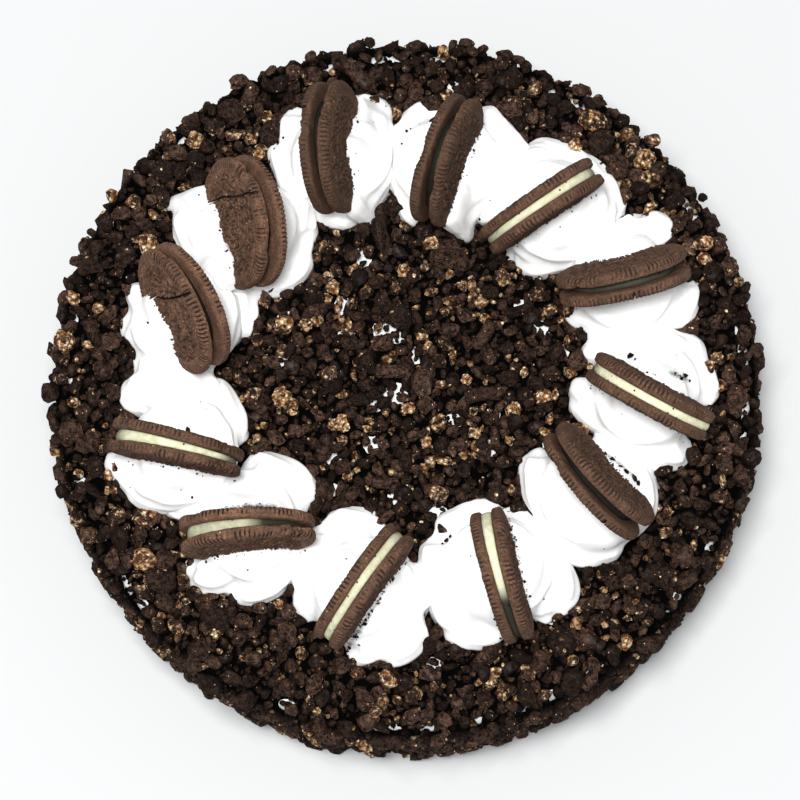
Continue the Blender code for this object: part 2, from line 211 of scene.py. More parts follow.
# Single crumbs on the cream: (x, y, length) in millimetres
FLECKS = (
    (92, 0.5, 2.2), (90.5, -1.2, 1.8), (93.6, -1.0, 1.3), (88.4, 0.4, 1.2), (74, 7, 2.4), (75.5, 5.6, 1.4),
    (65, -26, 1.6), (67.5, -28, 2.0), (70, -30.5, 1.7), (72, -32, 2.6), (74.5, -34, 3.0), (76, -35.4, 1.9),
    (-8.5, -74, 1.2), (-11, -78, 1.4), (-13.5, -82, 1.8), (-16.5, -85.5, 2.2), (-18.5, -88.5, 1.8),
    (-15.5, -88, 1.2), (8.7, 87, 2.6), (9.8, 85.2, 1.6), (-43.8, 69, 2.2), (-43.1, 81.6, 2.4),
    (-41.2, 82.6, 1.2), (-44.4, 79.6, 1.0), (-16, 84.7, 1.5), (-1.3, 80.3, 1.1), (0.3, 84.7, 1.8),
    (1.6, 85.4, 1.0), (24.8, 55.5, 1.4), (48.2, 36.8, 1.0),
    (-85.3, 18, 1.3), (13.4, -53.2, 2.4), (14.6, -51.9, 1.6), (12.0, -54.4, 1.2), (-70.2, -40, 1.3),
    (-71.2, -19, 2.4), (-2.7, -48.5, 2.2), (-1.2, -50.2, 1.4), (55, -32, 1.4), (56.4, -31, 1.0),
)

# How many crumbs stick to the cream along each cookie's front and back wafer, from cookie 1 on
STUCK = (
    (14, 10), (16, 18), (12, 16), (10, 8), (14, 22), (60, 16),
    (60, 60), (44, 14), (16, 34), (14, 10), (8, 6), (8, 10),
)

# White gaps in the coat, and its largest golden crumbs: (x, y, radius) in millimetres on the cake's top
WHITE_GAPS = (
    (-9.8, -5.6, 3.2), (-11.4, -20.2, 2.4), (-1.8, -36.8, 3.0), (3.2, 10.2, 1.6), (-2.9, 16.6, 1.3),
    (-14.7, 42.8, 1.8), (-21.5, 27.2, 1.5), (-40.6, 22.5, 1.6), (-25.2, -35.7, 1.6), (-10.8, -42.8, 1.5),
    (10.7, -43.5, 1.8), (28.7, -10.3, 1.5), (51.8, 11.3, 1.6), (45.6, 19.6, 1.7), (16.2, -11.7, 1.4),
)
GOLDEN_SPOTS = (
    (-24.3, 32.2, 3.4), (-17.5, 38.4, 2.8), (-41.6, -3.9, 3.9), (-22.2, -14.0, 4.2), (-0.8, 38.7, 2.3),
    (18.9, 33.3, 2.4), (22.2, 29.7, 2.3), (32.6, 36.5, 3.0), (35.8, -9.0, 3.4), (22.5, -17.2, 2.4),
    (7.1, -20.2, 2.4), (0.6, -9.0, 2.6), (15.7, 9.8, 2.2), (49.6, -3.9, 2.2), (39.4, 4.0, 1.9),
    (-33.4, 19.6, 2.3), (20.0, 1.1, 2.0),
)

# How much darker than the others each cookie's wafers are, from cookie 1 on
TONES = (0.6, 0.6, 0.4, 0.35, 0.4, 0.45, 0.35, 0.3, 0.0, 0.4, 0.06, 0.14)

# Where wafers are broken: the cookie, its side, and each break's (across, up, radius, depth) in millimetres
CHIPS = {
    (1, "front"): ((8, 21, 7, 2.4), (15, 16, 5, 1.5)), (1, "back"): ((-4, 22, 6, 1.6),),
    (2, "front"): ((10, 20, 6, 2.0), (-14, 17, 5, 1.4)), (2, "back"): ((6, 22, 6, 1.8),),
    (3, "back"): ((14, 17, 5, 1.4),), (4, "front"): ((18, 13, 5, 1.8),), (5, "front"): ((-19, 11, 5, 1.4),),
    (6, "back"): ((-13, 18, 5, 1.8),), (7, "front"): ((12, 19, 5, 1.6),), (8, "back"): ((-16, 15, 4, 1.2),),
    (9, "front"): ((19, 12, 6, 2.4), (10, 20, 4, 1.2)), (9, "back"): ((18, 13, 5, 1.6),),
    (10, "front"): ((-19, 11, 6, 2.6), (18, 13, 6, 2.2)),
    (10, "back"): ((-18, 12, 6, 2.2), (17, 14, 5, 1.6)),
    (11, "front"): ((-16, 15, 5, 1.6),), (12, "front"): ((-13, 18, 6, 2.0), (14, 17, 5, 1.2)),
}

# Cracked wafers: the crack across the outer face as (across, up) in millimetres
CRACKS = {
    (12, "front"): ((-13, -24), (-11, -10), (-9.6, 0), (-5.8, 11.4), (-4.7, 18), (-2.5, 24)),
    (11, "front"): ((-11, -24), (-8.3, -3.7), (-4.4, 3.3), (-1, 13.2), (1.8, 24)),
    (1, "back"): ((-8, 4), (-9, 14), (-8.5, 24)),
    (4, "back"): ((-1, 24), (0.5, 16), (-0.5, 6)),
    (6, "back"): ((12, 24), (13, 12), (11, 3), (13, -24)),
}
CRACK_WIDTH = 0.6 * MM
CRACK_DEPTH = 2.2 * MM

# How much painted shade darkens the filling's edge where it lies deep between the wafers, from cookie 1 on
FILLING_SHADES = (0.99, 0.99, 0.12, 0.93, 0.0, 0.99, 0.0, 0.15, 0.35, 0.05, 0.99, 0.99)

# The part of a filling that keeps only its cookie's least painted shade, from one distance across to another
# in millimetres
LIGHTEST_SPANS = {3: (-18, 15), 5: (-21, 17.5), 7: (-4, 22), 9: (-17, 0), 10: (-15.5, 15)}
WHOLE_WIDTH = (-30, 30)

# How far out each cookie's filling comes, in millimetres, from cookie 1 on
FILLING_REACHES = (16.2, 16.2, 20.3, 16.8, 20.6, 16.2, 20.5, 20.5, 18.9, 19.4, 15.5, 15.5)

# The camera looks down at the cake from nearly overhead, a metre away
CAMERA_AIM = Vector((-2.0 * MM, -5.1 * MM, CAKE_HEIGHT))
CAMERA_ELEVATION = math.radians(80.0)
CAMERA_DISTANCE = 1.0
CAMERA_LENS = 134.55

# One soft lamp hangs over the cake, a little to the left and in front, and the sky fills its shadows
LAMP_PLACE = (-0.09, -0.12, 1.5)
LAMP_SIZE = 0.3
SKY_COLOUR = (0.97, 0.985, 1.0)
SKY_STRENGTH = 0.42
FLOOR_HALF_WIDTH = 3.0


def on_cake(angle, out, height=CAKE_HEIGHT):
    """The point at this angle in degrees and distance out, in metres, at a height above the cake's base."""
    turned = math.radians(angle)
    return Vector((out * math.cos(turned), out * math.sin(turned), height))


SWIRL_CENTRES = [on_cake(swirl.angle, swirl.out * MM) for swirl in SWIRLS]


def linear(red, green, blue):
    """A colour as the photo shows it, from 0 to 255 a channel, in the linear values that shaders take."""
    channels = []
    for channel in (red, green, blue):
        share = channel / 255.0
        channels.append(share / 12.92 if share <= 0.04045 else ((share + 0.055) / 1.055) ** 2.4)
    return tuple(channels)


# Colours that the looks take beside those in the settings
PALE_GRAIN = linear(242, 228, 196)
SUGAR = linear(206, 170, 134)
# Grey of crumb dust on the cream, which is also painted shade beside the cookies
DUST_AND_SHADE_GREY = linear(66, 66, 56)
WAFER_SPECK = linear(184, 146, 112)
FILLING_SPECK = linear(58, 44, 36)
# Near-black painted shade on a filling where it lies deep between the wafers
DEEP_GAP_SHADE = linear(17, 14, 10)

# How far a crumb's surface is off the icing where its painted shade is deepest, and where the painted shade
# ends and it has its full colour
DARK_BELOW = 0.7 * MM
LIGHT_ABOVE = 3.6 * MM


def length_setting(name, description, shortest, longest):
    """A setting with a shortest and a longest length, given in millimetres."""
    return FloatVectorProperty(
        name=name, description=description, size=2, default=(shortest * MM, longest * MM),
        subtype="XYZ_LENGTH", unit="LENGTH")


def colour_setting(name, description, default):
    """A setting with a colour."""
    return FloatVectorProperty(name=name, description=description, size=3, default=default, subtype="COLOR")


class CoatSettings(bpy.types.PropertyGroup):
    """The crumbs' sizes and colours"""

    chunk_length: length_setting("Chunks", "Shortest and longest of the large crumbs", 7.5, 12.0)
    crumb_length: length_setting("Crumbs", "Shortest and longest of the usual crumbs", 4.2, 8.2)
    bit_length: length_setting("Bits", "Shortest and longest of the small crumbs", 2.0, 4.0)
    dust_length: length_setting("Dust", "Shortest and longest of the finest crumbs", 0.6, 1.9)
    dark_colour: colour_setting("Dark crumb", "The crumbs' darkest brown", linear(20, 15, 13))
    brown_colour: colour_setting("Brown crumb", "The crumbs' lighter brown", linear(106, 79, 65))
    golden_colour: colour_setting(
        "Golden crumb", "The tan crumbs and the tan grains stuck to the dark ones", linear(182, 142, 100))


class CreamSettings(bpy.types.PropertyGroup):
    """The piped cream's colour and finish"""

    cream_colour: colour_setting("Cream", "The whipped cream", linear(243, 243, 242))
    rope_lobes: IntProperty(
        name="Lobes", description="Points of the star nozzle that pipes the rosettes", default=8, min=3)
    rope_lobe_depth: FloatProperty(
        name="Lobe depth", description="How deep the nozzle's lobes are, as a share of the rope's radius",
        default=0.10, min=0.0, max=0.5, subtype="FACTOR")
    grain: FloatProperty(
        name="Fineness", description="Size of the smallest fold that the piped cream keeps",
        default=0.8 * MM, min=0.4 * MM, subtype="DISTANCE", unit="LENGTH")
    softness: FloatProperty(
        name="Softness", description="Radius to which the narrow folds between the strokes are filled",
        default=1.5 * MM, min=0.1 * MM, subtype="DISTANCE", unit="LENGTH")


class CookieSettings(bpy.types.PropertyGroup):
    """The cookies' colours and ridges"""

    wafer_colour: colour_setting("Wafer", "The wafers' dark chocolate brown", linear(143, 108, 87))
    filling_colour: colour_setting("Filling", "The cookies' filling", linear(216, 214, 188))
    teeth: IntProperty(
        name="Teeth", description="Ridges round a wafer's rim", default=88, min=12)


class StageSettings(bpy.types.PropertyGroup):
    """The floor and the main light"""

    floor_colour: colour_setting("Floor", "The pale floor", (0.588, 0.596, 0.598))
    lamp_power: FloatProperty(
        name="Main light", description="Power of the large soft light overhead", default=29.0, unit="POWER")


def add_node(tree, kind, inputs=None, **settings):
    """Adds a shader or geometry node with its settings, and sets or links its inputs."""
    node = tree.nodes.new(kind)
    for name, value in settings.items():
        setattr(node, name, value)
    for socket, value in (inputs or {}).items():
        if isinstance(value, bpy.types.NodeSocket):
            tree.links.new(value, node.inputs[socket])
        else:
            node.inputs[socket].default_value = value
    return node


def tinted(colour, *shares):
    """The colour with each channel multiplied by its share, or all three by the one given."""
    each = shares if len(shares) == 3 else shares * 3
    return tuple(channel * share for channel, share in zip(colour, each))


def mixed(tree, share, first, second):
    """A colour between two, by a share from 0 to 1: each is a node's output or a red, green and blue."""
    ends = [end if isinstance(end, bpy.types.NodeSocket) else (*end, 1.0) for end in (first, second)]
    return add_node(tree, "ShaderNodeMix", {0: share, 6: ends[0], 7: ends[1]}, data_type="RGBA").outputs[2]


def sloped(tree, value, low, high, to_low=0.0, to_high=1.0):
    """A value stretched from one range to another and kept inside it."""
    node = add_node(
        tree, "ShaderNodeMapRange",
        {"Value": value, "From Min": low, "From Max": high, "To Min": to_low, "To Max": to_high})
    return node.outputs["Result"]


def combined(tree, operation, first, second):
    """The sum or product of two values, by the name of Blender's operation."""
    return add_node(tree, "ShaderNodeMath", {0: first, 1: second}, operation=operation).outputs[0]


def written(tree, title):
    """The value that the mesh carries under this title."""
    return add_node(tree, "ShaderNodeAttribute", attribute_name=title).outputs["Fac"]


def on_piece(tree):
    """Where a point is in its piece's own coordinates."""
    return add_node(tree, "ShaderNodeTexCoord").outputs["Object"]


def noisy(tree, scale, detail, roughness=0.5, distortion=0.0):
    """Smooth noise from 0 to 1 over the piece."""
    inputs = {
        "Vector": on_piece(tree), "Scale": scale, "Detail": detail, "Roughness": roughness,
        "Distortion": distortion}
    return add_node(tree, "ShaderNodeTexNoise", inputs).outputs["Fac"]


def cells(tree, scale):
    """Cells over the piece: how far a point is from its cell's middle, and the cell's random colour."""
    node = add_node(tree, "ShaderNodeTexVoronoi", {"Vector": on_piece(tree), "Scale": scale})
    return node.outputs["Distance"], node.outputs["Color"]


def specks(tree, scale, radii, least, channel="Red"):
    """Scattered specks, 1 within the first radius and 0 past the second, in cells that draw high enough."""
    distance, colour = cells(tree, scale)
    drawn = add_node(tree, "ShaderNodeSeparateColor", {"Color": colour}).outputs[channel]
    near = sloped(tree, distance, *radii, 1.0, 0.0)
    return combined(tree, "MULTIPLY", near, sloped(tree, drawn, *least))


def shared_group(name, scale, make):
    """A shader node group with a scale, a shade and a height, made the first time that it is asked for."""
    tree = bpy.data.node_groups.get(name)
    if not tree:
        tree = bpy.data.node_groups.new(name, "ShaderNodeTree")
        socket = tree.interface.new_socket("Scale", in_out="INPUT", socket_type="NodeSocketFloat")
        socket.default_value = scale
        for title in ("Shade", "Height"):
            tree.interface.new_socket(title, in_out="OUTPUT", socket_type="NodeSocketFloat")
        shade, height = make(tree, tree.nodes.new("NodeGroupInput").outputs["Scale"])
        add_node(tree, "NodeGroupOutput", {"Shade": shade, "Height": height})
    return tree


def baked_grain(tree, scale):
    """Crumbly baked dough, for crumbs and wafers: the shade of its grains and their height."""
    coarse = noisy(tree, scale, 5.0, 0.65)
    distance, _ = cells(tree, combined(tree, "MULTIPLY", scale, 1.7))
    height = combined(tree, "ADD", coarse, sloped(tree, distance, 0.0, 0.5, 0.0, 0.6))
    return sloped(tree, coarse, 0.36, 0.66), height


def soft_cream(tree, scale):
    """Whipped cream's faint unevenness and its rare air holes, as a shade and a height."""
    waves = noisy(tree, scale, 3.0, distortion=0.8)
    distance, _ = cells(tree, 620.0)
    height = combined(tree, "ADD", waves, sloped(tree, distance, 0.03, 0.11))
    return sloped(tree, waves, 0.35, 0.65), height


def grain_of(tree, scale):
    """The outputs of a node of baked dough with grains of this scale."""
    group = shared_group("baked grain", 900.0, baked_grain)
    return add_node(tree, "ShaderNodeGroup", {"Scale": scale}, node_tree=group).outputs


def softness_of(tree, scale=160.0):
    """The outputs of a node of whipped cream with waves of this scale."""
    group = shared_group("soft cream", 160.0, soft_cream)
    return add_node(tree, "ShaderNodeGroup", {"Scale": scale}, node_tree=group).outputs


def new_look(name, roughness, specular=0.3):
    """A material with a plain Principled shader, and its tree and shader for the caller to wire up."""
    look = bpy.data.materials.new(name)
    look.use_nodes = True
    tree = look.node_tree
    shader = tree.nodes["Principled BSDF"]
    shader.inputs["Roughness"].default_value = roughness
    shader.inputs["Specular IOR Level"].default_value = specular
    return look, tree, shader


def bump(tree, shader, height, depth, strength=1.0):
    """Raises the surface by a height from 0 to 1, to a depth in metres."""
    node = add_node(tree, "ShaderNodeBump", {"Height": height, "Distance": depth, "Strength": strength})
    tree.links.new(node.outputs["Normal"], shader.inputs["Normal"])


def crumb_look(name, dark, brown, golden):
    """Broken chocolate cookie in painted shade the deeper it lies: its own brown, toasted lumps, sugar and
    glints.
    """
    look, tree, shader = new_look(name, 0.9, specular=0.05)
    grain = grain_of(tree, 620.0)
    base = mixed(tree, combined(tree, "MULTIPLY", grain["Shade"], written(tree, "tint")), dark, brown)
    reached = combined(tree, "ADD", noisy(tree, 380.0, 4.0, 0.72), written(tree, "gold"))
    hollow = combined(tree, "ADD", cells(tree, 640.0)[0], noisy(tree, 900.0, 3.0, 0.7))
    rust = tinted(golden, 0.28, 0.17, 0.12)
    toasted = mixed(tree, sloped(tree, hollow, 0.98, 1.22, 1.0, 0.0), rust, golden)
    toasted = mixed(tree, sloped(tree, hollow, 0.72, 0.88, 1.0, 0.0), toasted, PALE_GRAIN)
    coloured = mixed(tree, sloped(tree, reached, 0.82, 0.92), base, toasted)
    sugared = mixed(tree, specks(tree, 1100.0, (0.18, 0.28), (0.965, 0.97)), coloured, SUGAR)
    # Painted shade: the nearer a crumb's surface lies to the icing, the nearer it is to near-black
    clear_of_painted_shade = sloped(tree, written(tree, "rise"), DARK_BELOW, LIGHT_ABOVE)
    tree.links.new(mixed(tree, clear_of_painted_shade, tinted(dark, 0.12), sugared), shader.inputs["Base Color"])
    moist = sloped(tree, noisy(tree, 300.0, 4.0), 0.5, 0.66, 0.0, 0.22)
    tree.links.new(combined(tree, "MULTIPLY", moist, clear_of_painted_shade), shader.inputs["Coat Weight"])
    shader.inputs["Coat Roughness"].default_value = 0.5
    bump(tree, shader, grain["Height"], 1.5 * MM)
    return look


def cream_look(name, colour):
    """Whipped cream, bright white, its folds shaded by its shape alone, with dust and painted shade where it
    is marked.
    """
    look, tree, shader = new_look(name, 0.42, specular=0.3)
    soft = softness_of(tree)
    lightest = mixed(tree, soft["Shade"], tinted(colour, 0.97), colour)
    # Crumb dust and painted shade darken the cream where the dust attribute marks it
    dust_and_shade = combined(tree, "ADD", noisy(tree, 430.0, 6.0, 0.78), written(tree, "dust"))
    tree.links.new(mixed(tree, sloped(tree, dust_and_shade, 0.78, 1.22), lightest, DUST_AND_SHADE_GREY), shader.inputs["Base Color"])
    shader.inputs["Subsurface Weight"].default_value = 0.7
    shader.inputs["Subsurface Radius"].default_value = (1.0, 0.96, 0.92)
    shader.inputs["Subsurface Scale"].default_value = 3.0 * MM
    bump(tree, shader, soft["Height"], 0.12 * MM)
    return look


def wafer_look(name, colour):
    """A dry dark wafer: rough grain, painted shade that makes its notches and grooves near-black, worn
    patches and a few pale specks.
    """
    look, tree, shader = new_look(name, 0.75, specular=0.14)
    grain = grain_of(tree, 1300.0)
    wear = sloped(tree, noisy(tree, 170.0, 4.0, 0.65), 0.36, 0.62)
    worn = mixed(tree, wear, tinted(colour, 0.5), tinted(colour, 1.1, 1.04, 1.0))
    grained = mixed(tree, grain["Shade"], tinted(colour, 0.3), worn)
    # Painted shade: where the relief is low, in the notches and grooves, the wafer goes near black
    raised = mixed(tree, sloped(tree, written(tree, "relief"), 0.25, 0.72), tinted(colour, 0.07), grained)
    specked = mixed(tree, specks(tree, 560.0, (0.10, 0.2), (0.92, 0.93)), raised, WAFER_SPECK)
    toned = mixed(tree, written(tree, "tone"), specked, tinted(colour, 0.2))
    tree.links.new(toned, shader.inputs["Base Color"])
    bump(tree, shader, grain["Height"], 0.5 * MM)
    return look


def filling_look(name, colour):
    """Firm pale filling with dark specks of wafer in it, and near-black painted shade over it where it is
    marked.
    """
    look, tree, shader = new_look(name, 0.7, specular=0.1)
    soft = softness_of(tree, 420.0)
    plain = mixed(tree, soft["Shade"], tinted(colour, 0.80, 0.82, 0.68), colour)
    specked = mixed(tree, specks(tree, 700.0, (0.2, 0.3), (0.86, 0.87), "Green"), plain, FILLING_SPECK)
    # Painted shade darkens the filling towards near black where it is marked
    tree.links.new(mixed(tree, written(tree, "gap_shade"), specked, DEEP_GAP_SHADE), shader.inputs["Base Color"])
    bump(tree, shader, soft["Height"], 0.2 * MM)
    return look


def shared_look(name, make, *colours):
    """The material of this name, made the first time that it is asked for."""
    return bpy.data.materials.get(name) or make(name, *colours)


def new_piece(name, mesh, look):
    """Puts a mesh in the scene as a smooth-shaded object of its own, at the origin."""
    mesh.name = name
    mesh.materials.clear()
    mesh.materials.append(look)
    mesh.shade_smooth()
    piece = bpy.data.objects.new(name, mesh)
    bpy.context.scene.collection.objects.link(piece)
    return piece


def belongs(piece, slot, *nodes):
    """Fixes a finished piece to the cake, in place of the nodes that it stands for."""
    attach(piece, "root")
    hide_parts(*nodes)


def mesh_from(bm, name):
    """A new mesh with what the bmesh holds, which is freed."""
    mesh = bpy.data.meshes.new(name)
    bm.to_mesh(mesh)
    bm.free()
    return mesh


def corners_of(mesh):
    """The places of a mesh's corners, a row each."""
    places = np.zeros(len(mesh.vertices) * 3, dtype=np.float32)
    mesh.vertices.foreach_get("co", places)
    return places.reshape(-1, 3)


def write_down(mesh, title, values):
    """Keeps a value for each corner of a mesh, for its look to read."""
    mesh.attributes.new(title, "FLOAT", "POINT").data.foreach_set("value", values)


def random_shift(draw):
    """A step far through the noise, so that pieces made alike come out different."""
    return Vector([draw.uniform(-50.0, 50.0) for _ in range(3)])


def apply_modifiers(piece):
    """Keeps the shape that the piece's modifiers give it as its own mesh."""
    graph = bpy.context.evaluated_depsgraph_get()
    shaped = bpy.data.meshes.new_from_object(piece.evaluated_get(graph))
    piece.modifiers.clear()
    plain = piece.data
    piece.data = shaped
    bpy.data.meshes.remove(plain)


def spun(outline, steps):
    """Turns an outline of (radius, height) points round +Z into a closed bmesh with its faces outwards."""
    bm = bmesh.new()
    points = [bm.verts.new((radius, 0.0, height)) for radius, height in outline]
    edges = [bm.edges.new(pair) for pair in zip(points, points[1:])]
    bmesh.ops.spin(
        bm, geom=points + edges, cent=(0.0, 0.0, 0.0), axis=UP, angle=TURN, steps=steps, use_merge=True)
    bmesh.ops.remove_doubles(bm, verts=bm.verts[:], dist=0.001 * MM)
    bmesh.ops.recalc_face_normals(bm, faces=bm.faces[:])
    return bm


def icing_outline(inset, steps=8):
    """The icing's (radius, height) outline, from the top's middle over the edge to the base's middle."""
    radius = CAKE_RADIUS - inset
    height = CAKE_HEIGHT - inset
    flat = radius - TOP_EDGE_RADIUS
    outline = [(flat * step / 40, height) for step in range(40)]
    for step in range(steps + 1):
        angle = math.pi / 2 * (1 - step / steps)
        drop = TOP_EDGE_RADIUS * (1 - math.sin(angle))
        outline.append((flat + TOP_EDGE_RADIUS * math.cos(angle), height - drop))
    outline += [(radius, (height - TOP_EDGE_RADIUS) * (1 - step / 20)) for step in range(1, 21)]
    return outline + [(radius * 0.98, 0.0), (0.0, 0.0)]


class CAKE_OT_ice(bpy.types.Operator):
    """Spread the white icing that shows between the crumbs"""

    bl_idname = "cake.ice"
    bl_label = "Ice the cake"

    def execute(self, context):
        bm = spun(icing_outline(0.4 * MM), 192)
        bm.normal_update()
        for v in bm.verts:
            if v.co.z > MM:
                v.co += v.normal * 0.5 * MM * noise.noise(v.co * 70.0)
        cream = context.scene.cake_cream.cream_colour
        icing = new_piece("icing", mesh_from(bm, "icing"), shared_look("whipped cream", cream_look, cream))
        belongs(icing, "whipped_cream", "cake")
        return {"FINISHED"}


def wrapped(across, angle):
    """The point on the icing this far over its top, round the bend and down the wall, and its facing."""
    spoke = Vector((math.cos(angle), math.sin(angle), 0.0))
    if across < FLAT:
        return spoke * across + UP * CAKE_HEIGHT, UP.copy()
    if across < FLAT + BEND:
        slope = math.pi / 2 * (1 - (across - FLAT) / BEND)
        facing = spoke * math.cos(slope) + UP * math.sin(slope)
        return spoke * FLAT + UP * WALL + facing * TOP_EDGE_RADIUS, facing
    return spoke * CAKE_RADIUS + UP * (FLAT + BEND + WALL - across), spoke


def coat_spot(draw):
    """A point on the icing, drawn evenly over its area, and the way that the icing faces there."""
    areas = (FLAT**2 / 2, BEND * (FLAT + CAKE_RADIUS) / 2, CAKE_RADIUS * WALL)
    part = draw.choices(range(3), areas)[0]
    share = draw.random()
    across = (FLAT * math.sqrt(share), FLAT + BEND * share, FLAT + BEND + WALL * share)[part]
    return wrapped(across, draw.uniform(0.0, TURN))


# The least angle at which a crumb's edges stay sharp
SHARP_ANGLE = math.radians(34)


def crumb_shape(draw, rounds, lumps=0.16):
    """One crumb, 1 long: a lump broken along flat sides and roughened, longer than it is wide.

    It has 320, 80 or 20 faces for 3, 2 or 1 rounds, and 30 for none.
    """
    bm = bmesh.new()
    if rounds:
        bmesh.ops.create_icosphere(bm, subdivisions=rounds, radius=1.0)
    else:
        bmesh.ops.create_uvsphere(bm, u_segments=6, v_segments=5, radius=1.0)
    breaks = []
    for _ in range(draw.randint(8, 14)):
        way = Vector([draw.gauss(0.0, 1.0) for _ in range(3)]).normalized()
        breaks.append((way, draw.uniform(0.56, 0.96)))
    shift = random_shift(draw)
    sides = Vector((1.0, draw.uniform(0.55, 0.95), draw.uniform(0.55, 0.85)))
    for v in bm.verts:
        reach = min([level / v.co.dot(way) for way, level in breaks if v.co.dot(way) > 0.3] + [1.1])
        rough = 1.0 + 1.3 * lumps * noise.noise(v.co * 2.2 + shift) + lumps * noise.noise(v.co * 5.0 + shift)
        v.co = v.co * sides * reach * rough * 0.5
    reach = max(abs(v.co.x) for v in bm.verts)
    bmesh.ops.scale(bm, verts=bm.verts[:], vec=Vector((0.5 / reach,) * 3))
    bmesh.ops.recalc_face_normals(bm, faces=bm.faces[:])
    mesh = mesh_from(bm, "crumb")
    mesh.set_sharp_from_angle(angle=SHARP_ANGLE)
    return mesh


def rim_shape(draw):
    """A broken piece of a wafer's rim, 1 long, with its ridges."""
    bm = bmesh.new()
    bmesh.ops.create_cube(bm, size=1.0)
    bmesh.ops.scale(bm, verts=bm.verts[:], vec=(1.0, 0.42, 0.34))
    long_edges = [e for e in bm.edges if abs((e.verts[0].co - e.verts[1].co).x) > 0.5]
    bmesh.ops.bevel(
        bm, geom=long_edges, offset=0.09, offset_type="OFFSET", segments=2, profile=0.5, affect="EDGES",
        material=-1)
    long_edges = [e for e in bm.edges if abs((e.verts[0].co - e.verts[1].co).x) > 0.5]
    bmesh.ops.subdivide_edges(bm, edges=long_edges, cuts=14)
    bow = draw.uniform(0.3, 0.6)
    for v in bm.verts:
        ridge = 1.0 if round((v.co.x + 0.5) * 15) % 2 else 0.86
        if v.co.y < 0.05:
            v.co.y *= ridge
            v.co.z *= ridge
        v.co.x += 0.10 * noise.noise(Vector((v.co.y, v.co.z, bow)) * 6.0) * (1 if abs(v.co.x) > 0.45 else 0)
        v.co.y += bow * v.co.x**2 * 0.5
    bmesh.ops.recalc_face_normals(bm, faces=bm.faces[:])
    return mesh_from(bm, "rim")


# A crumb: its place, the way that the surface under it faces, its length, how light its brown is from 0 to
# 1, and how much of it golden grains cover
Spot = namedtuple("Spot", "place facing length tint gold")
MOST_CRUMBS = 20000

# How much of a white gap's radius is kept free, since crumbs hang over its edge
GAP_SHARE = 0.52


def spread(name, spots, shapes, draw, look, tilt=0.5):
    """Lays one of the shapes on each spot, turned at random, and joins them all into one mesh."""
    kinds = bpy.data.collections.new(name)
    for index, shape in enumerate(shapes):
        kinds.objects.link(bpy.data.objects.new(f"{name}_{index:02d}", shape))
    points = bpy.data.meshes.new(name)
    points.from_pydata([spot.place for spot in spots], [], [])
    turns, sizes = [], []
    for spot in spots:
        lean = Euler((draw.uniform(-tilt, tilt), draw.uniform(-tilt, tilt), draw.uniform(0.0, TURN)))
        turn = spot.facing.to_track_quat("Z", "Y").to_matrix() @ lean.to_matrix()
        turns.extend(turn.to_euler())
        sizes.append(spot.length)
    values = {
        "turn": ("FLOAT_VECTOR", "vector", turns),
        "size": ("FLOAT", "value", sizes),
        "shape": ("INT", "value", [draw.randrange(len(shapes)) for _ in spots]),
        "tint": ("FLOAT", "value", [spot.tint for spot in spots]),
        "gold": ("FLOAT", "value", [spot.gold for spot in spots]),
    }
    for title, (kind, field, data) in values.items():
        points.attributes.new(title, kind, "POINT").data.foreach_set(field, data)
    piece = bpy.data.objects.new(name, points)
    bpy.context.scene.collection.objects.link(piece)
    piece.modifiers.new("spread", "NODES").node_group = spread_group(kinds)
    graph = bpy.context.evaluated_depsgraph_get()
    joined = bpy.data.meshes.new_from_object(piece.evaluated_get(graph))
    for title in ("turn", "size", "shape"):
        if title in joined.attributes:
            joined.attributes.remove(joined.attributes[title])
    bpy.data.objects.remove(piece)
    for shape in list(kinds.objects):
        bpy.data.objects.remove(shape)
    bpy.data.collections.remove(kinds)
    keep_inside(joined)
    mark_rise(joined)
    return new_piece(name, joined, look)


def keep_inside(mesh):
    """Presses in whatever sticks out past the coat's reach or below the cake's base."""
    corners = corners_of(mesh)
    out = np.hypot(corners[:, 0], corners[:, 1])
    pressed = np.minimum(1.0, COAT_REACH / np.maximum(out, 1e-6))
    corners[:, :2] *= pressed[:, None]
    corners[:, 2] = np.maximum(corners[:, 2], 0.1 * MM)
    mesh.vertices.foreach_set("co", corners.ravel())


def mark_rise(mesh):
    """Writes down how far each corner stands out from the icing, for the look's painted shade."""
    x, y, z = corners_of(mesh).T
    write_down(mesh, "rise", np.maximum(z - CAKE_HEIGHT, np.hypot(x, y) - CAKE_RADIUS))


def spread_group(kinds):
    """Geometry nodes that put a shape on each point by its attributes, and make the copies real."""
    tree = bpy.data.node_groups.new("spread", "GeometryNodeTree")
    tree.interface.new_socket("Geometry", in_out="INPUT", socket_type="NodeSocketGeometry")
    tree.interface.new_socket("Geometry", in_out="OUTPUT", socket_type="NodeSocketGeometry")

    def attribute(title, kind):
        """The output of the points' attribute with this title."""
        node = add_node(tree, "GeometryNodeInputNamedAttribute", {"Name": title}, data_type=kind)
        return next(socket for socket in node.outputs if socket.enabled and socket.name == "Attribute")

    points = tree.nodes.new("NodeGroupInput").outputs[0]
    shapes = add_node(
        tree, "GeometryNodeCollectionInfo",
        {"Collection": kinds, "Separate Children": True, "Reset Children": True}).outputs[0]
    copies = add_node(
        tree, "GeometryNodeInstanceOnPoints",
        {
            "Points": points, "Instance": shapes, "Pick Instance": True,
            "Instance Index": attribute("shape", "INT"), "Rotation": attribute("turn", "FLOAT_VECTOR"),
            "Scale": attribute("size", "FLOAT"),
        }).outputs[0]
    real = add_node(tree, "GeometryNodeRealizeInstances", {"Geometry": copies}).outputs[0]
    add_node(tree, "NodeGroupOutput", {0: real})
    return tree


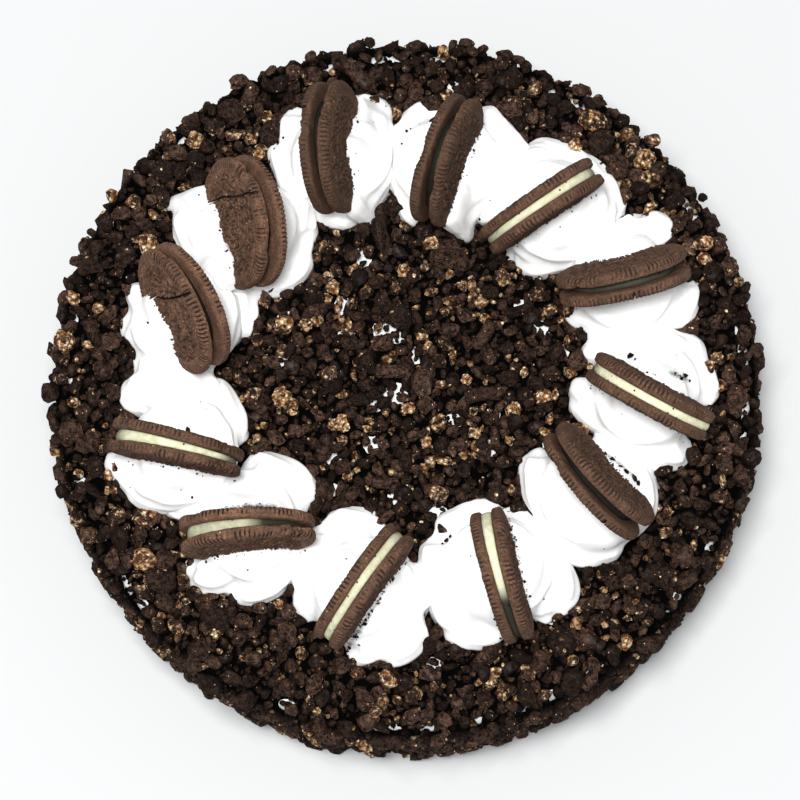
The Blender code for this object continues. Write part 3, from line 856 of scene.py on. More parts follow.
class Coat:
    """The spots taken so far, so that each crumb finds room among those already there."""

    def __init__(self, draw):
        self.draw = draw
        self.places = np.zeros((MOST_CRUMBS, 3))
        self.reaches = np.zeros(MOST_CRUMBS)
        self.count = 0

    def open_gaps(self, count, radii):
        """Leaves the white gaps, and this many more, most along the top edge and some down the side."""
        gaps = []
        for x, y, radius in WHITE_GAPS:
            gaps.append((Vector((x * MM, y * MM, CAKE_HEIGHT)), GAP_SHARE * radius * MM))
        for _ in range(count):
            angle = self.draw.uniform(0.0, 360.0)
            chance = self.draw.random()
            if chance < 0.16:
                place = on_cake(angle, 105.0 * MM * self.draw.random() ** 0.5)
            elif chance < 0.6:
                height = CAKE_HEIGHT - self.draw.uniform(0.0, 3.0) * MM
                place = on_cake(angle, CAKE_RADIUS - 0.5 * MM, height)
            else:
                place = on_cake(angle, CAKE_RADIUS, self.draw.uniform(6.0 * MM, CAKE_HEIGHT))
            gaps.append((place, self.draw.uniform(*radii)))
        self.gap_places = np.array([place for place, _ in gaps])
        self.gap_radii = np.array([radius for _, radius in gaps])

    def has_room(self, place, reach, crowding):
        """Whether a crumb there stays off the gaps and far enough from the crumbs placed so far."""
        at = np.array(place)
        if (np.linalg.norm(self.gap_places - at, axis=1) < self.gap_radii + 0.55 * reach).any():
            return False
        apart = np.linalg.norm(self.places[: self.count] - at, axis=1)
        return not (apart < (self.reaches[: self.count] + reach) * crowding).any()

    def take(self, place, reach):
        """Keeps this place for a crumb."""
        self.places[self.count] = place
        self.reaches[self.count] = reach
        self.count += 1

    def fill(self, wanted, tries, lengths, lift, crowding=0.8, gold=0.5, rarity=5.0, inner=0.0):
        """Finds spots for crumbs of these lengths until enough are placed or the tries run out.

        They lie about the lift in millimetres off the icing, past the inner distance from the middle. The
        lower the crowding, the more they overlap. Gold is the most that golden grains cover one, and the
        higher the rarity, the fewer crumbs come near it.
        """
        spots = []
        for _ in range(tries):
            if len(spots) >= wanted:
                break
            length = self.draw.uniform(*lengths)
            reach = 0.40 * length
            point, facing = coat_spot(self.draw)
            height = lift * MM * self.draw.uniform(0.4, 1.5) + 0.18 * length
            # Crumbs lie flatter on the wall, so that none sticks out past the coat
            if facing.z < 0.5:
                height = min(0.6 * height, COAT_REACH - CAKE_RADIUS - 0.38 * length)
            place = point + facing * height
            if place.z < reach * 0.8 or math.hypot(place.x, place.y) < inner:
                continue
            if under_cream(place, 0.3 * reach - 2.0 * MM) or not self.has_room(place, reach, crowding):
                continue
            self.take(place, reach)
            golden = gold * self.draw.random() ** rarity
            spots.append(Spot(place, facing, length, 0.12 + 0.88 * self.draw.random() ** 1.4, golden))
        return spots


def under_cream(place, margin):
    """Whether a point on the cake's top is within a rosette's edge, moved out by a margin."""
    if place.z < CAKE_HEIGHT - TOP_EDGE_RADIUS:
        return False
    level = Vector((place.x, place.y, CAKE_HEIGHT))
    return any(
        (level - centre).length < swirl.reach * MM + margin for centre, swirl in zip(SWIRL_CENTRES, SWIRLS))


def on_top(spot):
    """Whether a crumb lies on the cake's top rather than on its wall."""
    return spot.place.z > CAKE_HEIGHT - TOP_EDGE_RADIUS


class CAKE_OT_coat(bpy.types.Operator):
    """Press cookie crumbs of every size into the icing, the largest first"""

    bl_idname = "cake.coat"
    bl_label = "Coat with crumbs"

    def execute(self, context):
        sizes = context.scene.cake_coat
        draw = random.Random(SEEDS["coat"])
        colours = (sizes.dark_colour, sizes.brown_colour, sizes.golden_colour)
        look = shared_look("cookie crumb", crumb_look, *colours)
        coat = Coat(draw)
        coat.open_gaps(150, (0.5 * MM, 1.9 * MM))
        # The largest crumbs find room first
        golden = []
        for x, y, radius in GOLDEN_SPOTS:
            place = Vector((x * MM, y * MM, CAKE_HEIGHT + 3.6 * MM))
            coat.take(place, radius * MM)
            golden.append(Spot(place, UP.copy(), radius * 2.2 * MM, 1.0, draw.uniform(0.36, 0.5)))
        rims = coat.fill(26, 4000, (8.0 * MM, 12.5 * MM), 3.0, gold=0.1)
        chunks = coat.fill(
            360, 16000, sizes.chunk_length, 1.9, crowding=0.86, gold=0.42, rarity=3.0, inner=96.0 * MM)
        chunks += coat.fill(45, 3000, sizes.chunk_length, 1.4, crowding=0.86, gold=0.38, rarity=3.5)
        golden += coat.fill(190, 9000, (2.4 * MM, 5.5 * MM), 3.0, gold=0.46, rarity=0.3)
        crumbs = coat.fill(2900, 30000, sizes.crumb_length, 1.3, crowding=0.80, gold=0.44, rarity=3.6)
        crumbs += coat.fill(520, 12000, sizes.crumb_length, 3.2, crowding=0.72, gold=0.46, rarity=3.0)
        bits = coat.fill(5600, 60000, sizes.bit_length, 1.4, crowding=0.72, gold=0.5, rarity=3.0)
        if not (rims and chunks and crumbs and bits):
            raise RuntimeError("no room was found for some of the crumbs")
        large = [crumb_shape(draw, 3) for _ in range(14)]
        small = [crumb_shape(draw, 2) for _ in range(24)]
        tiny = [crumb_shape(draw, 0) for _ in range(24)]
        edges = [rim_shape(draw) for _ in range(5)]
        kinds = (
            ("wafer_rims", rims, edges),
            ("chunks", chunks, large),
            ("golden_crumbs", golden, [crumb_shape(draw, 3, 0.3) for _ in range(8)]),
            ("top_crumbs", [spot for spot in crumbs if on_top(spot)], small),
            ("side_crumbs", [spot for spot in crumbs if not on_top(spot)], small),
            ("top_bits", [spot for spot in bits if on_top(spot)], tiny),
            ("side_bits", [spot for spot in bits if not on_top(spot)], tiny),
        )
        for name, spots, shapes in kinds:
            belongs(spread(name, spots, shapes, draw, look, tilt=0.8), "crumb_coat", "cake")
        # The bed has no rise written, so its look paints all of it in the deepest painted shade
        belongs(new_piece("crumb_bed", crumb_bed(coat), look), "crumb_coat", "cake")
        return {"FINISHED"}


def crumb_bed(coat):
    """The fine crumbs pressed into the icing, as one lumpy sheet that sinks away at the white gaps."""
    reach = FLAT + BEND + WALL
    bm = bmesh.new()
    bmesh.ops.create_grid(bm, x_segments=260, y_segments=260, size=reach)
    beyond = [v for v in bm.verts if v.co.length > reach + 2.0 * MM]
    bmesh.ops.delete(bm, geom=beyond, context="VERTS")
    for v in bm.verts:
        point, facing = wrapped(min(v.co.length, reach), math.atan2(v.co.y, v.co.x))
        near = noise.voronoi(point * 330.0)[0]
        lump = 1.1 * MM * min(1.0, near[1] - near[0]) + 0.3 * MM * noise.noise(point * 900.0)
        clear = (np.linalg.norm(coat.gap_places - np.array(point), axis=1) - coat.gap_radii).min()
        if under_cream(point, -9.0 * MM):
            clear = 0.0
        sunk = min(1.0, max(0.0, 1.0 - clear / (2.8 * MM)))
        v.co = point + facing * (lump - 2.4 * MM * sunk)
    return mesh_from(bm, "crumb_bed")


def star_outline(lobes, depth):
    """The opening of a star nozzle, 1 across, as a closed curve to draw a rope of cream with."""
    curve = bpy.data.curves.new("nozzle", "CURVE")
    curve.dimensions = "2D"
    count = lobes * 6
    line = curve.splines.new("POLY")
    line.points.add(count - 1)
    line.use_cyclic_u = True
    for index, point in enumerate(line.points):
        angle = TURN * index / count
        radius = 1.0 + depth * math.cos(lobes * angle)
        point.co = (radius * math.cos(angle), radius * math.sin(angle), 0.0, 1.0)
    return bpy.data.objects.new("nozzle", curve)


def wound_path(swirl, steps=80):
    """The rope wound inwards and up from a rosette's edge to its tip, as (centre, radius, twist) steps."""
    reach = swirl.reach * MM
    rope = 0.37 * reach
    turns = 1.9
    climb = 14.0 * MM
    middle = on_cake(swirl.angle, swirl.out * MM)
    path = []
    for index in range(steps):
        share = index / (steps - 1)
        angle = math.radians(swirl.start) + swirl.way * TURN * turns * share
        out = (reach - rope) * (1.0 - share) ** 0.75
        height = 0.66 * rope + climb * share
        radius = rope * min(1.0, 0.4 + 7.0 * share) * (1.0 - 0.45 * share**1.5)
        place = middle + Vector((out * math.cos(angle), out * math.sin(angle), height))
        path.append((place, radius, 1.6 * share))
    return path


def stroke_path(stroke, sink, twist, steps=18):
    """A stroke of cream bent through its middle point, as (centre, radius, twist) steps."""
    width, *points = stroke
    start, bend, end = (Vector((x, y, top)) * MM for x, y, top in points)
    path = []
    for index in range(steps):
        share = index / (steps - 1)
        place = start * (1 - share) ** 2 + bend * 2 * share * (1 - share) + end * share**2
        radius = width / 2 * MM * (0.45 + 0.55 * math.sqrt(max(0.0, 1.0 - (2 * share - 1) ** 4)))
        place.z = CAKE_HEIGHT + max(0.2 * radius, (place.z - radius) * sink)
        path.append((place, radius, twist + 0.8 * share))
    return path


def slope_paths(number, side, edge, draw, steps=14):
    """Cream drawn away from one of a cookie's faces, down from each (across, up) point of its edge there."""
    place = wafer_frame(number, side)
    paths = []
    for across, level in edge:
        length = draw.uniform(6.0, 10.0) * (1.0 - (across / 25.0) ** 2)
        width = draw.uniform(4.2, 5.4)
        lean = draw.uniform(0.0, 0.3)
        twist = draw.uniform(0.0, TURN)
        path = []
        for index in range(steps):
            share = index / (steps - 1)
            radius = width * (1.0 - 0.35 * share) * MM
            up = (level - width - 20.0 * share**1.4) * MM
            away = 1.5 * MM + length * MM * share
            path.append((place @ Vector((across * (1 + lean * share) * MM, up, away)), radius, twist))
        paths.append(path)
    return paths


def brushed(place, heading):
    """How far the cream stands out there, from -1 to 1: fine streaks along a heading, bent a little."""
    bend = 3.0 * MM * noise.noise(place * 45.0)
    along = math.cos(heading) * place.x + math.sin(heading) * place.y
    across = math.cos(heading) * place.y - math.sin(heading) * place.x + bend
    return noise.noise(Vector((along * 70.0, across * 420.0, place.z * 120.0)))


def rosette_paths(number, swirl, centre, draw):
    """The wound rope, the strokes and the slopes that one rosette is made of."""
    paths = [wound_path(swirl)]
    for stroke in STROKES:
        bend = Vector((*stroke[2][:2], 0.0)) * MM + UP * CAKE_HEIGHT
        if min(SWIRL_CENTRES, key=lambda middle: (bend - middle).length) == centre:
            twist = draw.uniform(0.0, TURN)
            paths += [stroke_path(stroke, 1.0, twist), stroke_path(stroke, 0.35, twist)]
    for (cookie, side), edge in SLOPES.items():
        if cookie == number:
            paths += slope_paths(cookie, side, edge, draw)
    return paths


def rope_of_cream(path, nozzle):
    """Cream pressed through the nozzle along a path, as a closed mesh."""
    curve = bpy.data.curves.new("rope", "CURVE")
    curve.dimensions = "3D"
    curve.bevel_mode = "OBJECT"
    curve.bevel_object = nozzle
    curve.use_fill_caps = True
    line = curve.splines.new("POLY")
    line.points.add(len(path) - 1)
    for point, (place, radius, twist) in zip(line.points, path):
        point.co = (*place, 1.0)
        point.radius = radius
        point.tilt = twist
    thread = bpy.data.objects.new("rope", curve)
    graph = bpy.context.evaluated_depsgraph_get()
    bpy.context.scene.collection.objects.link(thread)
    graph.update()
    mesh = bpy.data.meshes.new_from_object(thread.evaluated_get(graph))
    bpy.data.objects.remove(thread)
    return mesh


def add_heart(bm, swirl, centre, draw):
    """Adds the lumpy mound of cream that a rosette's ropes lie on."""
    width = 0.76 * swirl.reach * MM
    height = 17.0 * MM
    lift = 6.5 * MM
    lump = 2.6 * MM
    heart = bmesh.ops.create_icosphere(bm, subdivisions=4, radius=1.0)["verts"]
    bmesh.ops.scale(bm, verts=heart, vec=(width, width, height))
    bmesh.ops.translate(bm, verts=heart, vec=centre + UP * lift)
    shift = random_shift(draw)
    for v in heart:
        v.co += (v.co - centre).normalized() * lump * noise.noise(v.co * 75.0 + shift)


def melt(piece, grain, softness):
    """Makes one skin of a rosette's ropes, with the folds narrower than the softness filled up."""
    for reach in (softness, -softness):
        skin = piece.modifiers.new("melt", "REMESH")
        skin.mode = "VOXEL"
        skin.voxel_size = grain
        swell = piece.modifiers.new("swell", "DISPLACE")
        swell.strength = reach
        swell.mid_level = 0.0
    piece.modifiers.new("soften", "SMOOTH").iterations = 4
    apply_modifiers(piece)


COARSE_FOLD = 0.7 * MM
FINE_FOLD = 0.22 * MM


def trim_and_fold(mesh, heading):
    """Cuts a rosette off level just below the cake's top, and folds its surface finely along a heading."""
    bm = bmesh.new()
    bm.from_mesh(mesh)
    bmesh.ops.bisect_plane(
        bm, geom=bm.verts[:] + bm.edges[:] + bm.faces[:], plane_co=(0.0, 0.0, CAKE_HEIGHT - 0.5 * MM),
        plane_no=(0.0, 0.0, -1.0), clear_outer=True)
    bmesh.ops.holes_fill(bm, edges=[e for e in bm.edges if e.is_boundary])
    bm.normal_update()
    for v in bm.verts:
        if v.co.z > CAKE_HEIGHT:
            fold = COARSE_FOLD * noise.noise(v.co * 130.0) + FINE_FOLD * brushed(v.co, heading)
            v.co += v.normal * fold
    bm.to_mesh(mesh)
    bm.free()
    mesh.shade_smooth()


def mark_dust_and_shade(mesh):
    """Writes down how thickly fine crumb dust and painted shade lie at each corner of the cream, for its
    look.
    """
    corners = corners_of(mesh)[:, :2] / MM
    dust = np.zeros(len(corners))
    for x, y, end_x, end_y, width, strength in DUST_AND_SHADE_SMUDGES:
        start, way = np.array((x, y)), np.array((end_x - x, end_y - y))
        share = np.clip((corners - start) @ way / (way @ way), 0.0, 1.0)
        apart = np.linalg.norm(corners - start - share[:, None] * way, axis=1)
        dust = np.maximum(dust, strength * np.clip(1.0 - apart / width, 0.0, 1.0))
    write_down(mesh, "dust", dust)


class CAKE_OT_pipe(bpy.types.Operator):
    """Pipe the ring of rosettes, each a rope of cream wound from its edge up to its tip"""

    bl_idname = "cake.pipe"
    bl_label = "Pipe the rosettes"

    def execute(self, context):
        settings = context.scene.cake_cream
        look = shared_look("whipped cream", cream_look, settings.cream_colour)
        nozzle = star_outline(settings.rope_lobes, settings.rope_lobe_depth)
        draw = random.Random(SEEDS["cream"])
        for number, (swirl, centre) in enumerate(zip(SWIRLS, SWIRL_CENTRES), start=1):
            bm = bmesh.new()
            for path in rosette_paths(number, swirl, centre, draw):
                rope = rope_of_cream(path, nozzle)
                bm.from_mesh(rope)
                bpy.data.meshes.remove(rope)
            add_heart(bm, swirl, centre, draw)
            rosette = new_piece(f"swirl_{number:02d}", mesh_from(bm, "swirl"), look)
            melt(rosette, settings.grain, settings.softness)
            trim_and_fold(rosette.data, math.radians(HEADINGS[number - 1]))
            mark_dust_and_shade(rosette.data)
            belongs(rosette, "whipped_cream", f"rosette_{number:02d}")
        bpy.data.objects.remove(nozzle)
        return {"FINISHED"}


def node_points(node):
    """A node's corners, each once."""
    return np.unique(corners_of(frame["nodes"][node].data).astype(float).round(6), axis=0)


def disc_frame(node, outside):
    """Where a round flat node lies: +Z is its short way, towards the outside point, and +Y is uphill.

    The origin is on the face that looks away from the outside.
    """
    points = node_points(node)
    middle = points.mean(axis=0)
    short_way = np.linalg.eigh(np.cov((points - middle).T))[1][:, 0]
    if short_way @ (np.array(outside) - middle) < 0:
        short_way = -short_way
    origin = Vector(middle + short_way * ((points - middle) @ short_way).min())
    out = Vector(short_way)
    across = UP.cross(out).normalized()
    turned = Matrix((across, out.cross(across), out)).transposed()
    return Matrix.Translation(origin) @ turned.to_4x4()


def wafer_frame(number, side):
    """Where a cookie's front or back wafer lies, with its origin on the inner face and +Z outwards."""
    wafer = f"cookie_{number:02d}_wafer_{side}"
    inside = node_points(f"cookie_{number:02d}_filling").mean(axis=0)
    return disc_frame(wafer, 2 * node_points(wafer).mean(axis=0) - inside)


def embossed(radius, angle, seed):
    """How far the outer face stands up there, from 0 to 1: worn lumps in rows, parted by winding grooves."""
    if radius > EMBOSSED_RADIUS:
        return 0.7
    x, y = radius * math.cos(angle), radius * math.sin(angle)
    winding = noise.noise(Vector((x, y, seed * 9.0)) * 0.42)
    row = abs(math.sin(1.6 * radius + 3.2 * winding))
    spoke = abs(math.sin(max(4.0, round(radius * 0.9)) * angle + 5.0 * winding))
    worn = 0.95 + 0.6 * noise.noise(Vector((x, y, seed * 5.0)) * 0.25)
    return min(1.0, max(0.0, worn * row * (0.3 + 0.8 * spoke)))


def wafer_shape(teeth, draw):
    """A wafer lying on its inner face: a smooth band, notched ridges round the rim, and an embossed face."""
    rim = (
        (0.0, 0.0), (19.0, 0.0), (20.9, 0.05), (21.5, 0.25), (21.85, 0.6), (21.95, 0.95), (21.85, 1.2),
        (21.95, 1.35), (22.1, 1.6), (22.15, 1.95), (22.15, 2.35), (22.1, 2.75), (21.95, 3.1), (21.7, 3.4),
        (21.3, 3.65), (20.8, 3.82), (20.2, 3.92), (19.6, 3.97), (19.0, 3.95), (18.4, 3.86), (17.8, 3.76),
        (17.3, 3.7),
    )
    bm = spun([(radius * MM, height * MM) for radius, height in rim], teeth * 3)
    rings = 34
    face = [(17.0 * MM * (1 - ring / rings), 3.68 * MM) for ring in range(rings + 1)]
    part = mesh_from(spun(face, teeth * 2), "face")
    bm.from_mesh(part)
    bpy.data.meshes.remove(part)
    bmesh.ops.bridge_loops(bm, edges=[e for e in bm.edges if e.is_boundary])
    seed = draw.uniform(0.0, TURN)
    shift = random_shift(draw)
    # How raised each corner is, which the wafer's look turns into painted shade in the notches and grooves
    relief = bm.verts.layers.float.new("relief")
    for v in bm.verts:
        radius = math.hypot(v.co.x, v.co.y) / MM
        height = v.co.z / MM
        angle = math.atan2(v.co.y, v.co.x)
        v[relief] = 0.7
        if radius < 0.01 or height < 0.01:
            continue
        spoke = Vector((v.co.x, v.co.y, 0.0)).normalized()
        notch = 0.5 + 0.5 * math.cos(teeth * angle)
        notch *= min(1.0, max(0.3, 0.8 + 1.1 * noise.noise(v.co * 260.0 + shift)))
        # The notches in the side run on over the smooth band round the face
        if radius > EMBOSSED_RADIUS and height > 1.3:
            side = min(1.0, (height - 1.3) / 0.4) * min(1.0, max(0.15, (radius - 20.0) / 1.5))
            fade = min(1.0, (radius - EMBOSSED_RADIUS) / 2.0) * min(1.0, (22.3 - radius) / 0.8)
            v.co -= spoke * SIDE_NOTCH * notch * side
            v.co.z -= FACE_NOTCH * notch * fade
            v[relief] = 1.0 - notch * max(side, fade)
        elif height > 3.0:
            raised = embossed(radius, angle, seed)
            v.co.z += PATTERN_DEPTH * (raised - 0.4)
            v[relief] = 0.2 + 0.8 * raised
        rough = noise.noise(v.co * 900.0 + shift) + 0.8 * noise.noise(v.co * 280.0 + shift)
        v.co += (spoke if radius > 21.0 else UP) * 0.13 * MM * rough
    bmesh.ops.recalc_face_normals(bm, faces=bm.faces[:])
    return mesh_from(bm, "wafer")


def weather(mesh, place, chips, shift):
    """Makes a wafer as uneven as a handled one: out of round, a little bowed, and crumbled at its breaks."""
    to_wafer = place.inverted()
    for v in mesh.vertices:
        co = to_wafer @ v.co
        spoke = Vector((co.x, co.y, 0.0))
        if spoke.length < MM:
            continue
        spoke.normalize()
        # Out of round and bowed
        co += spoke * min(0.0, 0.35 * MM * noise.noise(co * 90.0 + shift) - 0.08 * MM)
        co.z += 0.25 * MM * noise.noise(co * 45.0 + shift) * (1.0 if co.z > 2.0 * MM else 0.2)
        # Crumbled away towards the middle of each break
        for across, up, radius, depth in chips:
            near = 1.0 - (Vector((across * MM, up * MM)) - co.to_2d()).length / (radius * MM)
            if near > 0.0:
                broken = near**0.6 * (0.75 + 0.9 * noise.noise(co * 420.0 + shift))
                co -= spoke * depth * MM * broken
                co.z -= (co.z - 1.2 * MM) * 0.45 * min(1.0, broken)
        v.co = place @ co


def cut_crack(wafer, path, place):
    """Cuts a narrow jagged crack across a wafer's outer face and rim."""
    bm = bmesh.new()
    points = [bm.verts.new((x * MM, y * MM, WAFER_THICKNESS + MM)) for x, y in path]
    edges = [bm.edges.new(pair) for pair in zip(points, points[1:])]
    bmesh.ops.subdivide_edges(bm, edges=edges, cuts=4)
    for v in bm.verts:
        v.co.y += 0.7 * MM * noise.noise(v.co * 700.0)
    drawn = bmesh.ops.extrude_edge_only(bm, edges=bm.edges[:])["geom"]
    low = [item for item in drawn if isinstance(item, bmesh.types.BMVert)]
    bmesh.ops.translate(bm, verts=low, vec=(0.0, 0.0, -MM - CRACK_DEPTH))
    bmesh.ops.recalc_face_normals(bm, faces=bm.faces[:])
    bmesh.ops.transform(bm, verts=bm.verts[:], matrix=place)
    blade = bpy.data.objects.new("crack", mesh_from(bm, "crack"))
    bpy.context.scene.collection.objects.link(blade)
    width = blade.modifiers.new("width", "SOLIDIFY")
    width.thickness = CRACK_WIDTH
    width.offset = 0.0
    cut = wafer.modifiers.new("crack", "BOOLEAN")
    cut.object = blade
    cut.operation = "DIFFERENCE"
    cut.solver = "EXACT"
    apply_modifiers(wafer)
    bpy.data.objects.remove(blade)


def filling_between(middle, front, back, reach, draw):
    """The filling's disc, as thick as the two wafers' inner faces leave it, with an uneven edge."""
    bm = bmesh.new()
    bmesh.ops.create_cone(
        bm, cap_ends=True, cap_tris=False, segments=120, radius1=reach, radius2=reach, depth=2.0 * MM)
    sides = [e for e in bm.edges if abs(e.verts[0].co.z - e.verts[1].co.z) > MM]
    bmesh.ops.subdivide_edges(bm, edges=sides, cuts=3)
    shift = random_shift(draw)
    for v in bm.verts:
        share = v.co.z / (2.0 * MM) + 0.5
        bulge = 0.35 * MM * (1.0 - (2.0 * share - 1.0) ** 2)
        uneven = 0.9 * MM * noise.noise(v.co * 110.0 + shift) + 0.25 * MM * noise.noise(v.co * 600.0 + shift)
        spoke = Vector((v.co.x, v.co.y, 0.0)).normalized()
        start = middle @ (Vector((v.co.x, v.co.y, 0.0)) + spoke * (bulge + uneven))
        way = (front.translation - back.translation).normalized()
        ends = []
        for wafer in (back, front):
            normal = wafer.col[2].to_3d()
            ends.append(start + way * ((wafer.translation - start).dot(normal) / way.dot(normal)))
        v.co = ends[0].lerp(ends[1], share)
    bmesh.ops.recalc_face_normals(bm, faces=bm.faces[:])
    return mesh_from(bm, "filling")


def mark_filling_shade(mesh, middle, least_shade, lightest):
    """Writes down how much painted shade darkens each corner of a filling, the most past its lightest part's
    ends.
    """
    to_disc = middle.inverted()
    shade_shares = []
    for v in mesh.vertices:
        across = (to_disc @ v.co).x / MM
        past = max(lightest[0] - across, across - lightest[1], 0.0)
        shade_shares.append(least_shade + (0.97 - least_shade) * min(1.0, past / 6.0))
    write_down(mesh, "gap_shade", shade_shares)


class CAKE_OT_top(bpy.types.Operator):
    """Stand a sandwich cookie in each rosette"""

    bl_idname = "cake.top"
    bl_label = "Stand the cookies"

    def execute(self, context):
        settings = context.scene.cake_cookies
        draw = random.Random(SEEDS["cookies"])
        wafer = shared_look("chocolate wafer", wafer_look, settings.wafer_colour)
        filling = shared_look("cookie filling", filling_look, settings.filling_colour)
        shapes = [wafer_shape(settings.teeth, draw) for _ in range(4)]
        for number in COOKIES:
            name = f"cookie_{number:02d}"
            frames = {side: wafer_frame(number, side) for side in SIDES}
            for side in SIDES:
                mesh = draw.choice(shapes).copy()
                spin = Matrix.Rotation(draw.uniform(0.0, TURN), 4, "Z")
                mesh.transform(frames[side] @ spin)
                shift = random_shift(draw)
                weather(mesh, frames[side], CHIPS.get((number, side), ()), shift)
                write_down(mesh, "tone", [TONES[number - 1]] * len(mesh.vertices))
                piece = new_piece(f"wafer_{number:02d}_{side}", mesh, wafer)
                if (number, side) in CRACKS:
                    cut_crack(piece, CRACKS[number, side], frames[side])
                belongs(piece, "cookie_wafer", f"{name}_wafer_{side}")
            middle = disc_frame(f"{name}_filling", node_points(f"{name}_wafer_front").mean(axis=0))
            reach = FILLING_REACHES[number - 1] * MM
            mesh = filling_between(middle, frames["front"], frames["back"], reach, draw)
            # Painted shade darkens the filling by the cookie's share, the most past its lightest span
            mark_filling_shade(mesh, middle, FILLING_SHADES[number - 1], LIGHTEST_SPANS.get(number, WHOLE_WIDTH))
            layer = new_piece(f"filling_{number:02d}", mesh, filling)
            belongs(layer, "cookie_filling", f"{name}_filling")
        return {"FINISHED"}


# How many crumbs lie in the thickest smudge and loose on each rosette, and how many grains of dust are tried
CRUMBS_PER_SMUDGE = 36
LOOSE_CRUMBS = 4
DUST_TRIES = 5200


def fleck_places(draw):
    """Where crumbs fall on the cream, as (x, y, length) in millimetres: alone, in smudges and by cookies."""
    placed = list(FLECKS)
    for x, y, end_x, end_y, width, strength in DUST_AND_SHADE_SMUDGES:
        for _ in range(int(CRUMBS_PER_SMUDGE * strength)):
            share = draw.random()
            placed.append((
                x + (end_x - x) * share + draw.gauss(0.0, 0.35 * width),
                y + (end_y - y) * share + draw.gauss(0.0, 0.35 * width), draw.uniform(0.3, 0.7)))
    for swirl, centre in zip(SWIRLS, SWIRL_CENTRES):
        for _ in range(LOOSE_CRUMBS):
            spot = centre + on_cake(draw.uniform(0.0, 360.0), swirl.reach * MM * draw.uniform(0.3, 0.95))
            placed.append((spot.x / MM, spot.y / MM, draw.uniform(0.3, 0.9)))
    for number, counts in zip(COOKIES, STUCK):
        for side, count in zip(SIDES, counts):
            place = wafer_frame(number, side)
            for _ in range(count):
                away = WAFER_THICKNESS + draw.uniform(-0.3, 1.3) * MM
                spot = place @ Vector((draw.uniform(-20.0, 20.0) * MM, -6.0 * MM, away))
                placed.append((spot.x / MM, spot.y / MM, 0.4 + 1.0 * draw.random() ** 2))
    return placed


def nearest_hit(trees, start, way):
    """The first point that a ray meets on any of the trees, with its normal, or nothing."""
    hits = [tree.ray_cast(start, way) for tree in trees]
    return min((hit for hit in hits if hit[0]), key=lambda hit: hit[3], default=None)


class CAKE_OT_fleck(bpy.types.Operator):
    """Drop fine crumbs on the cream and among the larger crumbs"""

    bl_idname = "cake.fleck"
    bl_label = "Drop fine crumbs"

    def execute(self, context):
        sizes = context.scene.cake_coat
        draw = random.Random(SEEDS["flecks"])
        look = bpy.data.materials["cookie crumb"]
        shapes = [crumb_shape(draw, 1) for _ in range(8)]
        graph = context.evaluated_depsgraph_get()
        rosettes = [bpy.data.objects[f"swirl_{number:02d}"] for number in COOKIES]
        trees = [BVHTree.FromObject(piece, graph) for piece in rosettes]
        spots = []
        for x, y, length in fleck_places(draw):
            hit = nearest_hit(trees, Vector((x * MM, y * MM, 0.2)), -UP)
            if hit and hit[0].z > CAKE_HEIGHT + MM:
                spots.append(Spot(hit[0], hit[1], length * MM, 0.3 * draw.random(), 0.0))
        flecks = spread("flecks_on_cream", spots, shapes, draw, look)
        belongs(flecks, "crumb_coat", *[f"rosette_{number:02d}" for number in COOKIES])
        coat = [bpy.data.objects[name] for name in ("chunks", "top_crumbs", "side_crumbs", "golden_crumbs")]
        trees = [BVHTree.FromObject(part, graph) for part in coat]
        spots = []
        for _ in range(DUST_TRIES):
            point, facing = coat_spot(draw)
            hit = nearest_hit(trees, point + facing * 20.0 * MM, -facing)
            if hit and not under_cream(point, -3.0 * MM):
                length = draw.uniform(*sizes.dust_length)
                tint = draw.random()
                spots.append(Spot(hit[0], hit[1], length, tint, draw.choice((0.0, 0.1, 0.3, 0.45))))
        belongs(spread("dust", spots, shapes, draw, look), "crumb_coat", "cake")
        return {"FINISHED"}


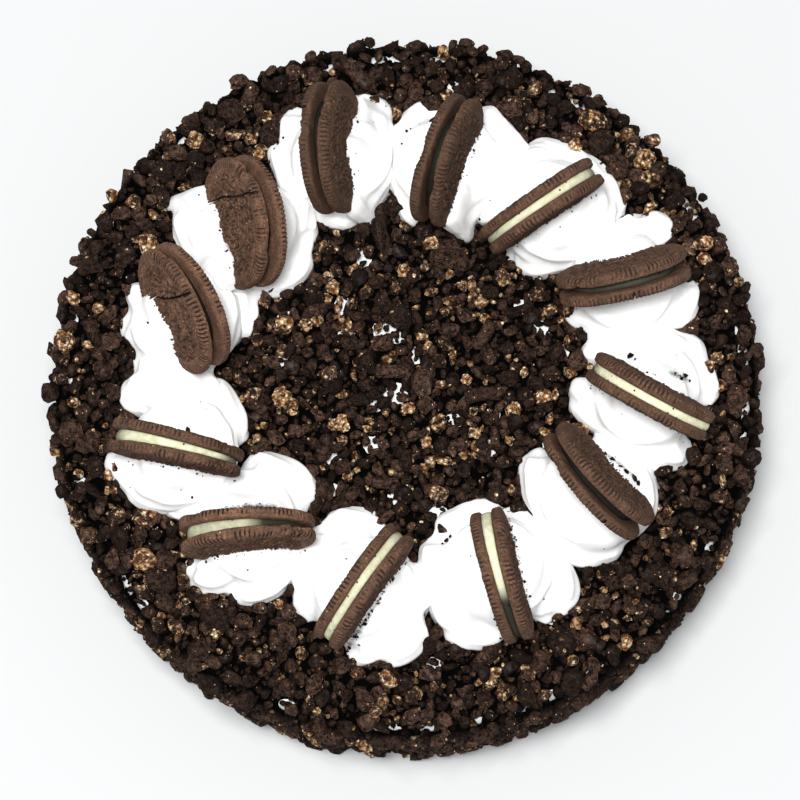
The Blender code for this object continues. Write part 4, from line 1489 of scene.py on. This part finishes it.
class CAKE_OT_stage(bpy.types.Operator):
    """Set out the pale floor, the soft lights and the camera"""

    bl_idname = "cake.stage"
    bl_label = "Set the stage"

    def execute(self, context):
        settings = context.scene.cake_stage
        bm = bmesh.new()
        bmesh.ops.create_grid(bm, x_segments=2, y_segments=2, size=FLOOR_HALF_WIDTH)
        look, _, shader = new_look("pale floor", 0.8, specular=0.1)
        shader.inputs["Base Color"].default_value = (*settings.floor_colour, 1.0)
        floor = new_piece("floor", mesh_from(bm, "floor"), look)
        self.add_light(context, settings.lamp_power)
        world = bpy.data.worlds.new("studio")
        context.scene.world = world
        world.use_nodes = True
        sky = world.node_tree.nodes["Background"]
        sky.inputs["Color"].default_value = (*SKY_COLOUR, 1.0)
        sky.inputs["Strength"].default_value = SKY_STRENGTH
        context.scene.view_settings.view_transform = "Standard"
        self.add_camera(context)
        return {"FINISHED"}

    @staticmethod
    def add_light(context, power):
        """Hangs a square soft light overhead, turned to the cake."""
        lamp = bpy.data.lights.new("overhead", "AREA")
        lamp.size = LAMP_SIZE
        lamp.energy = power
        light = bpy.data.objects.new("overhead", lamp)
        light.location = LAMP_PLACE
        light.rotation_euler = (Vector(LAMP_PLACE) - UP * 0.05).to_track_quat("Z", "Y").to_euler()
        context.scene.collection.objects.link(light)

    @staticmethod
    def add_camera(context):
        """Sets up the camera at the photo's viewing angle."""
        away = Vector((0.0, -math.cos(CAMERA_ELEVATION), math.sin(CAMERA_ELEVATION)))
        lens = bpy.data.cameras.new("camera")
        lens.lens = CAMERA_LENS
        camera = bpy.data.objects.new("camera", lens)
        camera.location = CAMERA_AIM + away * CAMERA_DISTANCE
        camera.rotation_euler = away.to_track_quat("Z", "Y").to_euler()
        context.scene.collection.objects.link(camera)
        context.scene.camera = camera


class CAKE_PT_sidebar(bpy.types.Panel):
    """The steps of making the cake, in order"""

    bl_idname = "CAKE_PT_sidebar"
    bl_label = "Cookies and cream cake"
    bl_space_type = "VIEW_3D"
    bl_region_type = "UI"
    bl_category = "Cake"

    def draw(self, context):
        for step in STEPS:
            self.layout.operator(step.bl_idname)


STEPS = (CAKE_OT_ice, CAKE_OT_coat, CAKE_OT_pipe, CAKE_OT_top, CAKE_OT_fleck, CAKE_OT_stage)
SETTINGS = {
    "cake_coat": CoatSettings,
    "cake_cream": CreamSettings,
    "cake_cookies": CookieSettings,
    "cake_stage": StageSettings,
}


def register():
    """Adds the settings, the steps and the sidebar to Blender."""
    for cls in (*SETTINGS.values(), *STEPS, CAKE_PT_sidebar):
        bpy.utils.register_class(cls)
    for name, group in SETTINGS.items():
        setattr(bpy.types.Scene, name, PointerProperty(type=group))


def unregister():
    """Takes them out again."""
    for name in SETTINGS:
        delattr(bpy.types.Scene, name)
    for cls in (CAKE_PT_sidebar, *reversed(STEPS), *reversed(SETTINGS.values())):
        bpy.utils.unregister_class(cls)


def main():
    """Makes the cake step by step."""
    register()
    bpy.ops.cake.ice()
    bpy.ops.cake.coat()
    bpy.ops.cake.pipe()
    bpy.ops.cake.top()
    bpy.ops.cake.fleck()
    bpy.ops.cake.stage()


if __name__ == "__main__":
    main()
